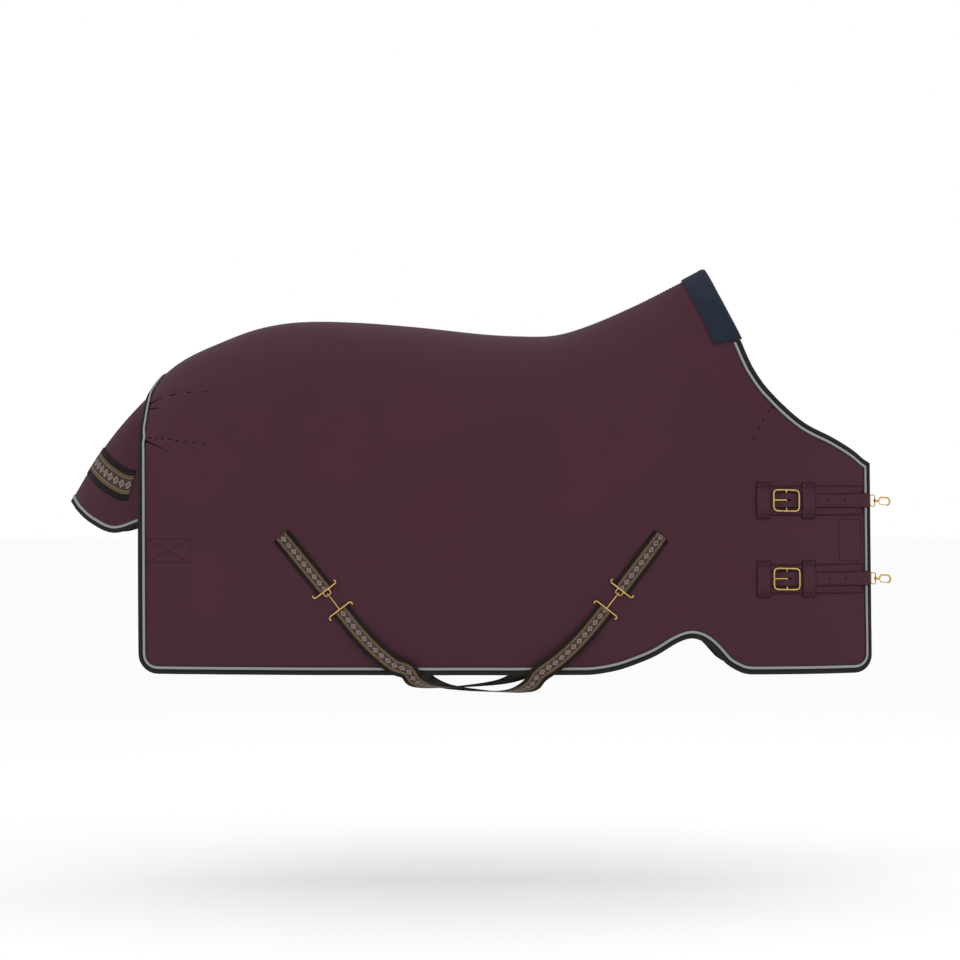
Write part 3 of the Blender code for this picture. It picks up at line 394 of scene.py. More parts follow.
# %% Scratches: fine crossing lines for handled metal
def make_scratches():
    tree, given, out = start_group(
        "scratches", {"Place": None, "Fineness": 300.0, "Depth": 1.0},
        {"Height": "NodeSocketFloat", "Mask": "NodeSocketFloat"})
    stretched = node(tree, "ShaderNodeMapping", {"Vector": given.outputs["Place"],
                                                 "Scale": (1.0, 0.12, 0.35),
                                                 "Rotation": (0.3, 0.5, 0.8)})
    lines = node(tree, "ShaderNodeTexNoise", {"Vector": stretched.outputs[0],
                                              "Scale": given.outputs["Fineness"], "Detail": 4.0})
    mask = calc(tree, "MULTIPLY", calc(tree, "SUBTRACT", lines.outputs["Fac"], 0.5), 2.5)
    mask = node(tree, "ShaderNodeClamp", {"Value": mask}).outputs[0]
    height = calc(tree, "MULTIPLY", mask, given.outputs["Depth"])
    feed(tree, out, {"Mask": mask, "Height": height})
    return tree


scratch_group = make_scratches()
print("effects:", [g.name for g in (weave_group, tone_group, scratch_group)])


# %% [markdown]
# ## Cloth finishes
#
# The outer cloth of a turnout rug is a tight polyester weave with a waterproof coating, so it
# is matt with a faint sheen. The lining is a smooth nylon, the edge tape a ribbed grosgrain and
# the fill a loose white fibre. One function makes them all from their two colours, the thread
# count and the roughness, so that each finish is one readable line.

# %% A woven finish
def woven(name, base, faded, threads, rough, depth=0.0004, sheen=0.0, slant=0.0, patch=3.0,
          follows="UV", gap_shade_share=0.25, specular=0.5):
    made, tree, shader, where = start_material(name, follows)
    weave = node(tree, "ShaderNodeGroup", {"Place": where, "Threads per metre": threads,
                                           "Slant": slant}, node_tree=weave_group)
    tone = node(tree, "ShaderNodeGroup", {
        "Place": where, "Base": (*base, 1), "Faded": (*faded, 1), "Patch size": patch,
        "Roughness": rough}, node_tree=tone_group)
    # Painted shade: the gaps between threads are mixed towards this darker colour.
    dark = tuple(c * 0.45 for c in base) + (1,)
    share = calc(tree, "MULTIPLY", weave.outputs["Gap shade"], gap_shade_share)
    dress(tree, shader, weave.outputs["Height"], depth, 0.6, {
        "Base Color": mix(tree, share, tone.outputs["Colour"], dark),
        "Roughness": tone.outputs["Roughness"], "Sheen Weight": sheen,
        "Specular IOR Level": specular})
    return made


AUBERGINE = (0.0600, 0.0185, 0.0295)
outer_cloth = woven("aubergine outer cloth", AUBERGINE, (0.078, 0.027, 0.040), 1100, 0.72,
                    depth=0.0003, sheen=0.01, specular=0.14)
strap_cloth = woven("aubergine strap cloth", (0.056, 0.0175, 0.028), (0.074, 0.026, 0.038), 520,
                    0.70, depth=0.0006, slant=0.5, patch=14, specular=0.16)
lining_cloth = woven("dark lining", (0.030, 0.024, 0.030), (0.044, 0.036, 0.044), 1500, 0.42,
                     depth=0.0002, specular=0.5)
fill_cloth = woven("white fill", (0.62, 0.60, 0.56), (0.72, 0.70, 0.67), 260, 0.95, depth=0.001)
edge_tape = woven("charcoal edge tape", (0.0185, 0.0185, 0.0170), (0.030, 0.030, 0.028), 620,
                  0.82, depth=0.0005, patch=9, specular=0.10)
# Dark thread, also used to paint shade along the rims of flat pieces and the creases of darts.
thread_and_shade_cloth = woven("dark thread and painted shade", (0.0040, 0.0024, 0.0032), (0.0080, 0.0048, 0.0064), 2500,
                     0.9, follows="Object", patch=30, specular=0.04)
fleece_cloth = woven("navy fleece", (0.0150, 0.0210, 0.0365), (0.023, 0.031, 0.051), 420, 0.95,
                     depth=0.0012, sheen=0.06, patch=22, follows="Object", gap_shade_share=0.15,
                     specular=0.1)
WOVEN = (outer_cloth, strap_cloth, lining_cloth, fill_cloth, edge_tape, thread_and_shade_cloth, fleece_cloth)
print("woven finishes:", [made.name for made in WOVEN])

# %% [markdown]
# ## Webbing, piping, hook and loop tape, and brass
#
# Surcingle webbing is woven in a pattern: dark edges, a lighter middle, two fine gold lines on
# each side and a row of small lozenges. The pattern is drawn by arithmetic on the distance
# across and along the strap, so it follows every bend. The reflective piping is pale grey on its
# crown, with shade painted dark down its sides and on its flat edge, where it tucks under the
# cloth. Brass wire is bright with fine scratches and a little tarnish.

# %% Patterned webbing
def between(tree, value, low, high):
    above = calc(tree, "GREATER_THAN", value, low)
    return calc(tree, "MULTIPLY", above, calc(tree, "LESS_THAN", value, high))


def make_webbing():
    made, tree, shader, where = start_material("patterned webbing")
    weave = node(tree, "ShaderNodeGroup", {"Place": where, "Threads per metre": 640.0,
                                           "Slant": 1.0}, node_tree=weave_group)
    tone = node(tree, "ShaderNodeGroup", {
        "Place": where, "Base": (0.0120, 0.0085, 0.0080, 1), "Faded": (0.0230, 0.0155, 0.0135, 1),
        "Patch size": 12.0, "Roughness": 0.7}, node_tree=tone_group)
    apart = node(tree, "ShaderNodeSeparateXYZ", {"Vector": where})
    across = calc(tree, "ABSOLUTE", apart.outputs["X"])
    middle = node(tree, "ShaderNodeMapRange", {
        "Value": across, "From Min": 0.0175, "From Max": 0.010, "To Min": 0.0, "To Max": 1.0},
        interpolation_type="SMOOTHSTEP")
    colour = mix(tree, middle.outputs[0], tone.outputs["Colour"], (0.070, 0.050, 0.040, 1))
    lines = between(tree, across, 0.0098, 0.0112)
    lines = calc(tree, "MAXIMUM", lines, between(tree, across, 0.0132, 0.0142))
    colour = mix(tree, lines, colour, (0.30, 0.205, 0.095, 1))
    step = calc(tree, "FRACT", calc(tree, "DIVIDE", apart.outputs["Y"], 0.021))
    away = calc(tree, "ABSOLUTE", calc(tree, "SUBTRACT", step, 0.5))
    lozenge = calc(tree, "ADD", calc(tree, "DIVIDE", across, 0.0068),
                   calc(tree, "MULTIPLY", away, 2.3))
    motif = calc(tree, "MAXIMUM", between(tree, lozenge, 0.55, 1.0),
                 calc(tree, "LESS_THAN", lozenge, 0.24))
    colour = mix(tree, calc(tree, "MULTIPLY", motif, 0.85), colour, (0.42, 0.29, 0.285, 1))
    # Painted shade: the gaps between threads are darkened.
    share = calc(tree, "MULTIPLY", weave.outputs["Gap shade"], 0.35)
    colour = mix(tree, share, colour, (0.006, 0.004, 0.004, 1))
    dress(tree, shader, weave.outputs["Height"], 0.0006, 0.7, {
        "Base Color": colour, "Roughness": tone.outputs["Roughness"],
        "Specular IOR Level": 0.12})
    return made


webbing = make_webbing()


# %% Reflective piping, hook and loop tape
def make_piping():
    made, tree, shader, where = start_material("reflective piping")
    apart = node(tree, "ShaderNodeSeparateXYZ", {"Vector": where})
    weave = node(tree, "ShaderNodeGroup", {"Place": where, "Threads per metre": 900.0},
                 node_tree=weave_group)
    # crown is 1 on the crown and falls to 0 down the sides and on the flat edge, where shade is
    # painted dark.
    crown = node(tree, "ShaderNodeMapRange", {
        "Value": calc(tree, "ABSOLUTE", apart.outputs["X"]), "From Min": 0.0043,
        "From Max": 0.0024}, interpolation_type="SMOOTHSTEP")
    # Painted shade: the gaps between threads are darker.
    pale = mix(tree, weave.outputs["Gap shade"], (0.300, 0.302, 0.280, 1), (0.215, 0.218, 0.205, 1))
    dress(tree, shader, weave.outputs["Height"], 0.0003, 0.4, {
        "Base Color": mix(tree, crown.outputs[0], (0.012, 0.012, 0.012, 1), pale),
        "Roughness": 0.38, "Metallic": 0.15})
    return made


def make_loop_tape():
    made, tree, shader, where = start_material("hook and loop tape")
    dots = node(tree, "ShaderNodeTexVoronoi", {"Vector": where, "Scale": 700.0,
                                               "Randomness": 0.55})
    rows = node(tree, "ShaderNodeGroup", {"Place": where, "Threads per metre": 230.0,
                                          "Unevenness": 0.6}, node_tree=weave_group)
    # Painted shade: the tape is darker in the dimples between the hooks, where the bump is lowest,
    # and in the gaps between its rows.
    share = calc(tree, "MULTIPLY", dots.outputs["Distance"], 1.1)
    colour = mix(tree, share, (0.040, 0.024, 0.029, 1), (0.072, 0.043, 0.050, 1))
    colour = mix(tree, calc(tree, "MULTIPLY", rows.outputs["Gap shade"], 0.5), colour,
                 (0.030, 0.018, 0.021, 1))
    high = calc(tree, "ADD", dots.outputs["Distance"], rows.outputs["Height"])
    dress(tree, shader, high, 0.0010, 0.9, {
        "Base Color": colour, "Roughness": 0.9, "Specular IOR Level": 0.15})
    return made


piping_cloth, loop_tape = make_piping(), make_loop_tape()


# %% Brass wire
def make_brass():
    made, tree, shader, where = start_material("brass wire", "Object")
    tone = node(tree, "ShaderNodeGroup", {
        "Place": where, "Base": (0.640, 0.445, 0.150, 1), "Faded": (0.330, 0.205, 0.060, 1),
        "Patch size": 85.0, "Amount": 0.55, "Roughness": 0.24, "Roughness change": 0.20},
        node_tree=tone_group)
    scratch = node(tree, "ShaderNodeGroup", {"Place": where, "Fineness": 900.0, "Depth": 0.6},
                   node_tree=scratch_group)
    colour = mix(tree, calc(tree, "MULTIPLY", scratch.outputs["Mask"], 0.25),
                 tone.outputs["Colour"], (0.80, 0.62, 0.28, 1))
    dress(tree, shader, scratch.outputs["Height"], 0.00006, 0.5, {
        "Base Color": colour, "Roughness": tone.outputs["Roughness"], "Metallic": 1.0})
    return made


brass = make_brass()

# %% [markdown]
# ## The three layers of each side
#
# A turnout rug has an outer cloth, a fill and a lining, cut in two halves that meet along the
# back. Each half is one grid of points: columns run from the hem up to the back, and the first
# columns, ahead of the shoulder, stop at the neckline. Each layer is that grid pushed in by its
# own depth and closed into a thin solid. One grid for all layers keeps them nested.

# %% Grid of one side
def corner_steps(radius, count=7):
    return [radius * (1 - cos(pi / 2 * k / count)) for k in range(count + 1)]


def side_columns(cell):
    front = corner_steps(FRONT_CORNER)
    front += list(np.linspace(FRONT_CORNER, SEAM_FOOT, round(0.28 / cell) + 1)[1:])
    rear = [BODY_LENGTH - step for step in corner_steps(REAR_CORNER)][::-1]
    body = list(np.linspace(SEAM_FOOT, rear[0], round(1.546 / cell) + 1)[1:])
    return front, [SEAM_FOOT] + body + rear[1:]


SEAM_SHARE = SEAM_TOP_H / 1.0605


def side_rows(cell):
    low = list(np.linspace(0, SEAM_SHARE, round(0.865 / cell) + 1))
    count = round(0.26 / cell)
    return low, [SEAM_SHARE + (1 - SEAM_SHARE) * (1 - (1 - k / count) ** 2)
                 for k in range(1, count + 1)]


def column_places(share_along, rows, on_panel):
    """(d, h) of a column's points, from the hem to the neckline or the back."""
    def along(h):
        if on_panel:
            return share_along * seam_d(h)
        return (1 - share_along) * straight(NECK_EDGE, h) + share_along * straight(REAR_EDGE, h)
    top = 0.7
    for _ in range(50):
        d = along(top)
        top = 0.5 * top + 0.5 * (smooth(NECKLINE, d) if on_panel else spine_h(d))
    if on_panel:
        rows = [row / SEAM_SHARE for row in rows]
    foot = hem_h(along(0.0))
    heights = [foot + (top - foot) * row for row in rows]
    return [(along(h), h) for h in heights]


class Side:
    """The grid of one half of the rug: points, directions off the cloth, and its rim."""

    def __init__(self, side, cell):
        low, high = side_rows(cell)
        front, body = side_columns(cell)
        columns = [column_places(d / SEAM_FOOT, low, True) for d in front[:-1]]
        columns += [column_places((d - SEAM_FOOT) / (BODY_LENGTH - SEAM_FOOT), low + high, False)
                    for d in body]
        self.seam, self.low = len(front) - 1, len(low)
        self.side, self.columns = side, columns
        self.index, self.points, self.uv = {}, [], []
        for j, column in enumerate(columns):
            run, before = 0.0, None
            for i, (d, h) in enumerate(column):
                spine = i == len(low) + len(high) - 1
                y = 0.0 if spine else side * half_width(d, h)
                point = place(d, h, y)
                if not spine:
                    point = point + cloth_normal(side, d, h) * fold(side, d, h)
                run += 0.0 if before is None else np.linalg.norm(point - before)
                before = point
                self.index[i, j] = len(self.points)
                self.points.append(point)
                self.uv.append((d, run))
        self.points = np.array(self.points)
        self.faces = [(self.index[i, j], self.index[i, j + 1], self.index[i + 1, j + 1],
                       self.index[i + 1, j]) for (i, j) in self.index
                      if (i + 1, j + 1) in self.index and (i, j + 1) in self.index
                      and (i + 1, j) in self.index]
        if side < 0:
            self.faces = [face[::-1] for face in self.faces]
        self.find_normals()

    def find_normals(self):
        normals = np.zeros_like(self.points)
        for face in self.faces:
            a, b, c, e = self.points[list(face)]
            normals[list(face)] += np.cross(c - a, e - b)
        last = len(self.columns[-1]) - 1
        for j in range(self.seam, len(self.columns)):
            normals[self.index[last, j], 1] = 0.0
        self.normals = normals / np.linalg.norm(normals, axis=1, keepdims=True)

    def outline(self):
        """Rim cells from the back at the rear, round the hem, to the seam at the neck, and on."""
        last, rear = len(self.columns[-1]) - 1, len(self.columns) - 1
        bound = [(i, rear) for i in range(last, -1, -1)]
        bound += [(0, j) for j in range(rear - 1, -1, -1)]
        bound += [(i, 0) for i in range(1, self.low)]
        bound += [(self.low - 1, j) for j in range(1, self.seam + 1)]
        neck = [(i, self.seam) for i in range(self.low, last + 1)]
        spine = [(last, j) for j in range(self.seam + 1, rear)]
        return bound, neck, spine


GRID_CELL = 0.0125
SIDES = {"left": Side(1, GRID_CELL), "right": Side(-1, GRID_CELL)}
print("points on each side:", len(SIDES["left"].points))


# %% Mesh helper and layers
def make_mesh(name, points, faces, material, uv=None, sharp=40):
    mesh = bpy.data.meshes.new(name)
    mesh.from_pydata([tuple(p) for p in points], [], [tuple(f) for f in faces])
    build = bmesh.new()
    build.from_mesh(mesh)
    bmesh.ops.recalc_face_normals(build, faces=build.faces)
    build.to_mesh(mesh)
    build.free()
    if uv is not None:
        places = mesh.uv_layers.new(name="along the cloth")
        order = np.empty(len(mesh.loops), dtype=np.int32)
        mesh.loops.foreach_get("vertex_index", order)
        places.data.foreach_set("uv", np.array(uv, np.float32)[order].ravel())
    mesh.shade_smooth()
    mesh.set_sharp_from_angle(angle=radians(sharp))
    mesh.materials.append(material)
    obj = bpy.data.objects.new(name, mesh)
    bpy.context.scene.collection.objects.link(obj)
    return obj


def layer(name, grid, low, high, material):
    """The grid's cloth between two depths, closed along its rim."""
    count = len(grid.points)
    points = np.concatenate([grid.points + grid.normals * high, grid.points + grid.normals * low])
    rim = [grid.index[cell] for part in grid.outline() for cell in part]
    faces = list(grid.faces) + [tuple(v + count for v in face[::-1]) for face in grid.faces]
    faces += [(a, b, b + count, a + count) for a, b in zip(rim, rim[1:] + rim[:1])]
    return make_mesh(name, points, faces, material, list(grid.uv) * 2)


def bend_at_shoulder(obj):
    """Bakes the object's place into its points, so that it stays where it is."""
    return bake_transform(obj)


# %% Outer cloth, fill and lining
SHELL_DEPTH, FILL_DEPTH, LINING_DEPTH = (-0.0012, 0.0), (-0.0058, -0.0022), (-0.0078, -0.0068)
for word, grid in SIDES.items():
    shell = layer(f"outer_cloth_{word}", grid, *SHELL_DEPTH, outer_cloth)
    fill = layer(f"fill_{word}", grid, *FILL_DEPTH, fill_cloth)
    lining = layer(f"lining_{word}", grid, *LINING_DEPTH, lining_cloth)
    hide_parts(f"shell_front_{word}", "shell_body")
    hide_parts(f"wadding_front_{word}", "wadding_body")
    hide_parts(f"lining_front_{word}", "lining_body")
    for obj, rests in ((shell, fill), (fill, lining), (lining, "withers_pad")):
        bend_at_shoulder(obj)
    area = sum(f.area for f in shell.data.polygons) / 2
    print(f"{word}: cloth area {area:.3f} m2, {len(shell.data.polygons)} faces")


# %% [markdown]
# ## Edge binding and reflective piping
#
# A tape is folded over the whole rim and sewn through. Beside it runs a reflective piping. Both
# are made by carrying a small cross-section along the rim: the section's first number is the
# distance out from the edge, the second is the height off the cloth. At a sharp corner the
# sections spread like a mitre, and the places just beside the corner are left out.

# %% Carry a section along a rim
def sweep(name, rings, material, uv, closed=False):
    count, total = len(rings[0]), len(rings)
    points = [p for ring in rings for p in ring]
    faces = []
    for k in range(total if closed else total - 1):
        a, b = k * count, (k + 1) % total * count
        faces += [(a + i, a + (i + 1) % count, b + (i + 1) % count, b + i) for i in range(count)]
    if not closed:
        faces += [tuple(range(count))[::-1], tuple(range((total - 1) * count, total * count))]
    return make_mesh(name, points, faces, material, uv)


def rim_path(points, normals, inside, keep_off=0.018):
    """(point, normal, out, length) along a rim. inside is a place on the cloth side of it."""
    points = [np.array(p) for p in points]
    runs = [unit(b - a) for a, b in zip(points, points[1:])]
    sharp = [k + 1 for k in range(len(runs) - 1) if runs[k] @ runs[k + 1] < 0.80]
    kept = [k for k in range(len(points)) if k in (0, len(points) - 1) or k in sharp or not any(
        np.linalg.norm(points[k] - points[s]) < keep_off for s in sharp)]
    middle = kept[len(kept) // 2]
    sign = 1.0
    path, length = [], 0.0
    for n, k in enumerate(kept):
        before, after = points[kept[max(n - 1, 0)]], points[kept[min(n + 1, len(kept) - 1)]]
        first, second = points[k] - before, after - points[k]
        first = first if n else second
        second = second if n < len(kept) - 1 else first
        run = unit(unit(first) + unit(second))
        out = unit(np.cross(run, normals[k]))
        spread = min(1 / max(run @ unit(first), 0.5), 1.6)
        length += np.linalg.norm(first) if n else 0.0
        if k == middle:
            sign = np.sign(out @ (points[k] - inside))
        path.append([points[k], normals[k], out * spread, length])
    return [(p, n, out * sign, length) for p, n, out, length in path]


def carry(name, path, section, material):
    """section holds (out, up, place across the tape)."""
    rings = [[p + out * a + n * b for a, b, _ in section] for p, n, out, _ in path]
    uv = [(s, length) for _, _, _, length in path for _, _, s in section]
    return sweep(name, rings, material, uv)


def binding_section(width, sheet, thick=0.0012, clear=0.0008):
    """A folded tape: over the cloth, round its edge and back under it."""
    top, low, end = clear + thick, -sheet - clear - thick, clear + thick
    outer = [(-width, clear + thick * 0.45), (-width + 0.0006, top), (-width * 0.5, top + 0.0001),
             (0.0, top), (end * 0.8, top - 0.0009), (end, top - 0.0024),
             (end, low + 0.0024), (end * 0.8, low + 0.0009), (0.0, low),
             (-width * 0.5, low - 0.0001), (-width + 0.0006, low), (-width, low + thick * 0.55)]
    inner = [(-width, -sheet - clear * 0.9), (0.0, -sheet - clear * 0.9), (clear, -sheet),
             (clear, 0.0), (0.0, clear), (-width, clear)]
    run, section = 0.0, []
    for k, (a, b) in enumerate(outer):
        run += sqrt((a - outer[k - 1][0]) ** 2 + (b - outer[k - 1][1]) ** 2) if k else 0.0
        section.append((a, b, run))
    places = [run, run - width, run - width, width, width, 0.0]
    return section + [(a, b, s) for (a, b), s in zip(inner, places)]


def piping_section(middle, half=0.0042, height=0.0032, flange=0.0022):
    """A round cord in a sleeve, with the sleeve's flat edge showing on the cloth side."""
    crown = [(half * cos(pi * k / 9), 0.0004 + height * sin(pi * k / 9) ** 0.8)
             for k in range(10)]
    crown += [(-half - 0.0004, 0.0009), (-half - flange, 0.0007), (-half - flange, 0.0003)]
    return [(middle + a, b, a) for a, b in crown] + [(middle + half, 0.0002, half)]


# %% Bind both sides
BINDING_WIDTH, RUG_T, PIPING_MIDDLE = 0.0100, 0.0078, -0.0146
UNDER_PAD, MID_SIDE = 0.36, 40
edge_paths = {}
for word, grid in SIDES.items():
    cells = [grid.index[cell] for cell in grid.outline()[0]]
    column = grid.seam + MID_SIDE
    inside = grid.points[grid.index[len(grid.columns[column]) // 2, column]]
    points, normals = list(grid.points[cells]), list(grid.normals[cells])
    neck = grid.points[grid.index[grid.low, grid.seam]]
    points.append(points[-1] * (1 - UNDER_PAD) + neck * UNDER_PAD)
    path = rim_path(points, normals + normals[-1:], inside)
    edge_paths[word] = path
    binding = carry(f"binding_{word}", path, binding_section(BINDING_WIDTH, RUG_T), edge_tape)
    piping = carry(f"piping_{word}", path, piping_section(PIPING_MIDDLE), piping_cloth)
    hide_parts(f"binding_front_{word}", "binding_body")
    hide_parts(f"piping_front_{word}", "piping_body")
    for obj in (binding, piping):
        bend_at_shoulder(obj)
    print(f"{word}: bound edge {path[-1][3]:.2f} m")

# %% [markdown]
# ## Tail flap
#
# The tail flap hangs from under the back's rear edge. Its top line and its hem are two curves,
# and the cloth between them swells a little, as it does over a tail. It has the rug's own edge
# tape and piping, and a band of the patterned webbing sewn across it. The flap's cloth stays
# where it is, and its edge tape, piping and band move with the lifting flap.

# %% Flap shape
FLAP_TOP = [(0.0, -0.0595, 0.7775, 0.0), (0.5, -0.058, 0.7725, 0.030),
            (1.0, -0.0535, 0.758, 0.058)]
FLAP_HEM = [(0.0, 0.196, 0.448, 0.0), (0.25, 0.1765, 0.421, 0.052), (0.5, 0.1365, 0.392, 0.094),
            (0.75, 0.0705, 0.367, 0.130), (1.0, -0.0095, 0.392, 0.156)]
FLAP_BULGE, FLAP_WAVE, FLAP_T = 0.020, 0.004, 0.0016
FLAP_HALF, FLAP_LENGTH = 0.14, 0.40
flap_down, flap_across = np.linspace(0, 1, 29), np.linspace(-1, 1, 41)


def flap_point(p, q):
    """A point of the flap: p runs from its top to its hem, q from side to side."""
    top = [smooth([(t[0], t[k]) for t in FLAP_TOP], abs(q)) for k in (1, 2, 3)]
    hem = [smooth([(t[0], t[k]) for t in FLAP_HEM], abs(q)) for k in (1, 2, 3)]
    d, h, y = [a + (b - a) * p for a, b in zip(top, hem)]
    swell = FLAP_BULGE * sin(pi * p) * cos(q * pi / 2)
    wave = FLAP_WAVE * p * sin(q * 7.0 + 0.6) * cos(q * pi / 2)
    return place(BODY_LENGTH + d + 0.8 * swell + 0.8 * wave, h + 0.6 * swell, y if q >= 0 else -y)


def flap_spot(p, q, level=0.0):
    """A point raised off the flap, and the direction off it."""
    step = 0.004
    down = flap_point(min(p + step, 1), q) - flap_point(max(p - step, 0), q)
    over = flap_point(p, min(q + step, 1)) - flap_point(p, max(q - step, -1))
    normal = unit(np.cross(over, down))
    if normal[0] > 0:
        normal = -normal
    return flap_point(p, q) + normal * level, normal


# %% Flap cloth, edge and band
def grid_piece(name, top, low, material, uv, edge=None):
    """A thin piece between two grids of points. edge is the material of its rim, which paints shade
    dark along the rim.
    """
    rows, columns = len(top), len(top[0])
    points = [p for grid in (top, low) for row in grid for p in row]
    count = rows * columns
    faces = []
    for i in range(rows - 1):
        for j in range(columns - 1):
            a = i * columns + j
            face = (a, a + 1, a + columns + 1, a + columns)
            faces += [face, tuple(v + count for v in face[::-1])]
    rim = [j for j in range(columns)] + [i * columns + columns - 1 for i in range(1, rows)]
    rim += [(rows - 1) * columns + j for j in range(columns - 2, -1, -1)]
    rim += [i * columns for i in range(rows - 2, 0, -1)]
    faces += [(a, a + count, b + count, b) for a, b in zip(rim, rim[1:] + rim[:1])]
    obj = make_mesh(name, points, faces, material, [w for row in uv for w in row] * 2)
    if edge is not None:
        obj.data.materials.append(edge)
        on_rim = set(rim)
        for face in obj.data.polygons:
            face.material_index = int(any(v % count in on_rim for v in face.vertices))
    return obj


EDGE_FROM, FLAP_TAPE, FLAP_PIPING = 0.32, 0.0080, -0.0124
BAND_ROWS = [0.600, 0.606, *np.linspace(0.62, 0.78, 7), 0.794, 0.800]
BAND_WIDTH, BAND_REACH, BAND_T = 0.050, 0.80, 0.0018


def make_flap():
    spots = [[flap_spot(p, q) for q in flap_across] for p in flap_down]
    top = [[point for point, _ in row] for row in spots]
    low = [[point - n * FLAP_T for point, n in row] for row in spots]
    uv = [[(q * FLAP_HALF, p * FLAP_LENGTH) for q in flap_across] for p in flap_down]
    flap = grid_piece("tail_flap_cloth", top, low, outer_cloth, uv)
    last = len(flap_down) - 1
    first = int(EDGE_FROM * last)
    cells = [(i, 0) for i in range(first, last)] + [(last, j) for j in range(len(flap_across))]
    cells += [(i, len(flap_across) - 1) for i in range(last - 1, first - 1, -1)]
    path = rim_path([spots[i][j][0] for i, j in cells], [spots[i][j][1] for i, j in cells],
                    spots[last // 2][len(flap_across) // 2][0], keep_off=0.016)
    binding = carry("tail_flap_edge", path, binding_section(FLAP_TAPE, FLAP_T), edge_tape)
    trim = carry("tail_flap_trim", path[1:-1], piping_section(FLAP_PIPING), piping_cloth)
    return flap, binding, trim


def make_flap_band():
    across = np.linspace(-BAND_REACH, BAND_REACH, 61)
    middle = sum(BAND_ROWS) / len(BAND_ROWS)
    top, low, uv, run = [], [], [], [0.0]
    for a, b in zip(across, across[1:]):
        run.append(run[-1] + np.linalg.norm(flap_point(middle, b) - flap_point(middle, a)))
    for k, p in enumerate(BAND_ROWS):
        thick = BAND_T * (0.5 if k in (0, len(BAND_ROWS) - 1) else 1.0)
        top.append([flap_spot(p, q, 0.0004 + thick)[0] for q in across])
        low.append([flap_spot(p, q, 0.0004)[0] for q in across])
        uv.append([((p - middle) / (BAND_ROWS[-1] - BAND_ROWS[0]) * BAND_WIDTH, r) for r in run])
    return grid_piece("tail_flap_webbing", top, low, webbing, uv)


flap_cloth, flap_edge, flap_trim = make_flap()
flap_webbing = make_flap_band()
for obj, old in ((flap_cloth, "tail_flap"), (flap_edge, "tail_flap_binding"),
                 (flap_trim, "tail_flap_piping"), (flap_webbing, "tail_flap_band")):
    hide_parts(old)
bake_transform(flap_cloth)
for obj in (flap_edge, flap_trim, flap_webbing):
    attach(obj, "tail_flap")
print(f"flap area {sum(f.area for f in flap_cloth.data.polygons) / 2:.4f} m2")

# %% [markdown]
# ## Chest fastenings
#
# The two fronts meet at the chest with two straps and a patch of hook and loop tape. Every flat
# piece here is a grid of places (d, h) on the front, raised by its own level, with its rim
# pressed down as an edge is by its stitching and shade painted dark along it. An arch over a
# ring or a buckle is a bump in that level.

# %% Flat pieces on the cloth
BODY_OF = {name: body for body, names in frame["record"]["behaviour"]["bodies"].items()
           for name in names}
PIECE_T, TAPE_T, ON_CLOTH, ON_PATCH = 0.0012, 0.0020, 0.0005, 0.0020


def worn(obj, *nodes):
    """obj stands for these solids and moves with the body of the first."""
    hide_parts(*nodes)
    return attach(obj, BODY_OF[nodes[0]])


def with_rim(start, stop, step, rim=0.0012):
    count = max(2, round((stop - start) / step))
    inside = list(np.linspace(start + rim, stop - rim, count))
    return [start] + inside + [stop]


def flat_piece(name, side, d_range, h_range, material, thick, level, step=0.006, along_d=True):
    """A thin piece over a range of places on the cloth. level is a height or a rule for it."""
    ds, hs = with_rim(*d_range, step), with_rim(*h_range, step)
    rule = level if callable(level) else lambda d, h: level
    top, low, uv = [], [], []
    for i, d in enumerate(ds):
        row = [], [], []
        for j, h in enumerate(hs):
            rim = i in (0, len(ds) - 1) or j in (0, len(hs) - 1)
            base = rule(d, h)
            row[0].append(on_cloth(side, d, h, base + thick * (0.55 if rim else 1.0))[0])
            row[1].append(on_cloth(side, d, h, base)[0])
            across = (h - sum(h_range) / 2, d) if along_d else (d - sum(d_range) / 2, h)
            row[2].append(across)
        top.append(row[0])
        low.append(row[1])
        uv.append(row[2])
    # The rim takes the dark thread material, as painted shade along the piece's edges.
    return grid_piece(name, top, low, material, uv, edge=thread_and_shade_cloth)


def bump(away, half, rise):
    """Height of an arch: full in its middle and eased down at its ends."""
    return rise * ease((half - abs(away)) / (0.6 * half))


# %% Left front: ring straps, patches and tape
LEFT_UNITS = {"upper": 0.460, "lower": 0.2525}
RIGHT_UNITS = {"upper": 0.4500, "lower": 0.2450}
PATCH_D, PATCH_HEIGHT = (0.020, 0.304), 0.078
RING_STRAP_D, RING_STRAP_WIDTH, RING_BARS = (0.030, 0.287), 0.0285, (0.130, 0.256)
RING_HALF, RING_RISE = 0.0085, 0.0044
LOOP_TAPE = (0.027, 0.184), (0.329, 0.395)
HOOK_TAPE = (0.025, 0.088), (0.2895, 0.4025)
PATCH_STEP, FINE_STEP = 0.009, 0.0022


def around(middle, width):
    return middle - width / 2, middle + width / 2


def chest_patch(side, side_word, word, h):
    patch = flat_piece(f"{side_word}_patch_{word}", side, PATCH_D, around(h, PATCH_HEIGHT),
                       strap_cloth, PIECE_T, ON_CLOTH, step=PATCH_STEP)
    worn(patch, f"chest_patch_{side_word}_{word}")


def over_rings(d, h):
    return ON_PATCH + sum(bump(d - bar, RING_HALF, RING_RISE) for bar in RING_BARS)


for word, h in LEFT_UNITS.items():
    chest_patch(1, "left", word, h)
    strap = flat_piece(f"left_ring_strap_{word}", 1, RING_STRAP_D, around(h, RING_STRAP_WIDTH),
                       strap_cloth, TAPE_T, over_rings, step=FINE_STEP)
    worn(strap, f"ring_strap_{word}")
tape = flat_piece("left_loop_tape", 1, *LOOP_TAPE, loop_tape, PIECE_T, ON_CLOTH)
worn(tape, "velcro_left")
tape = flat_piece("right_hook_tape", -1, *HOOK_TAPE, loop_tape, PIECE_T,
                  -RUG_T - ON_CLOTH - PIECE_T)
worn(tape, "velcro_right")

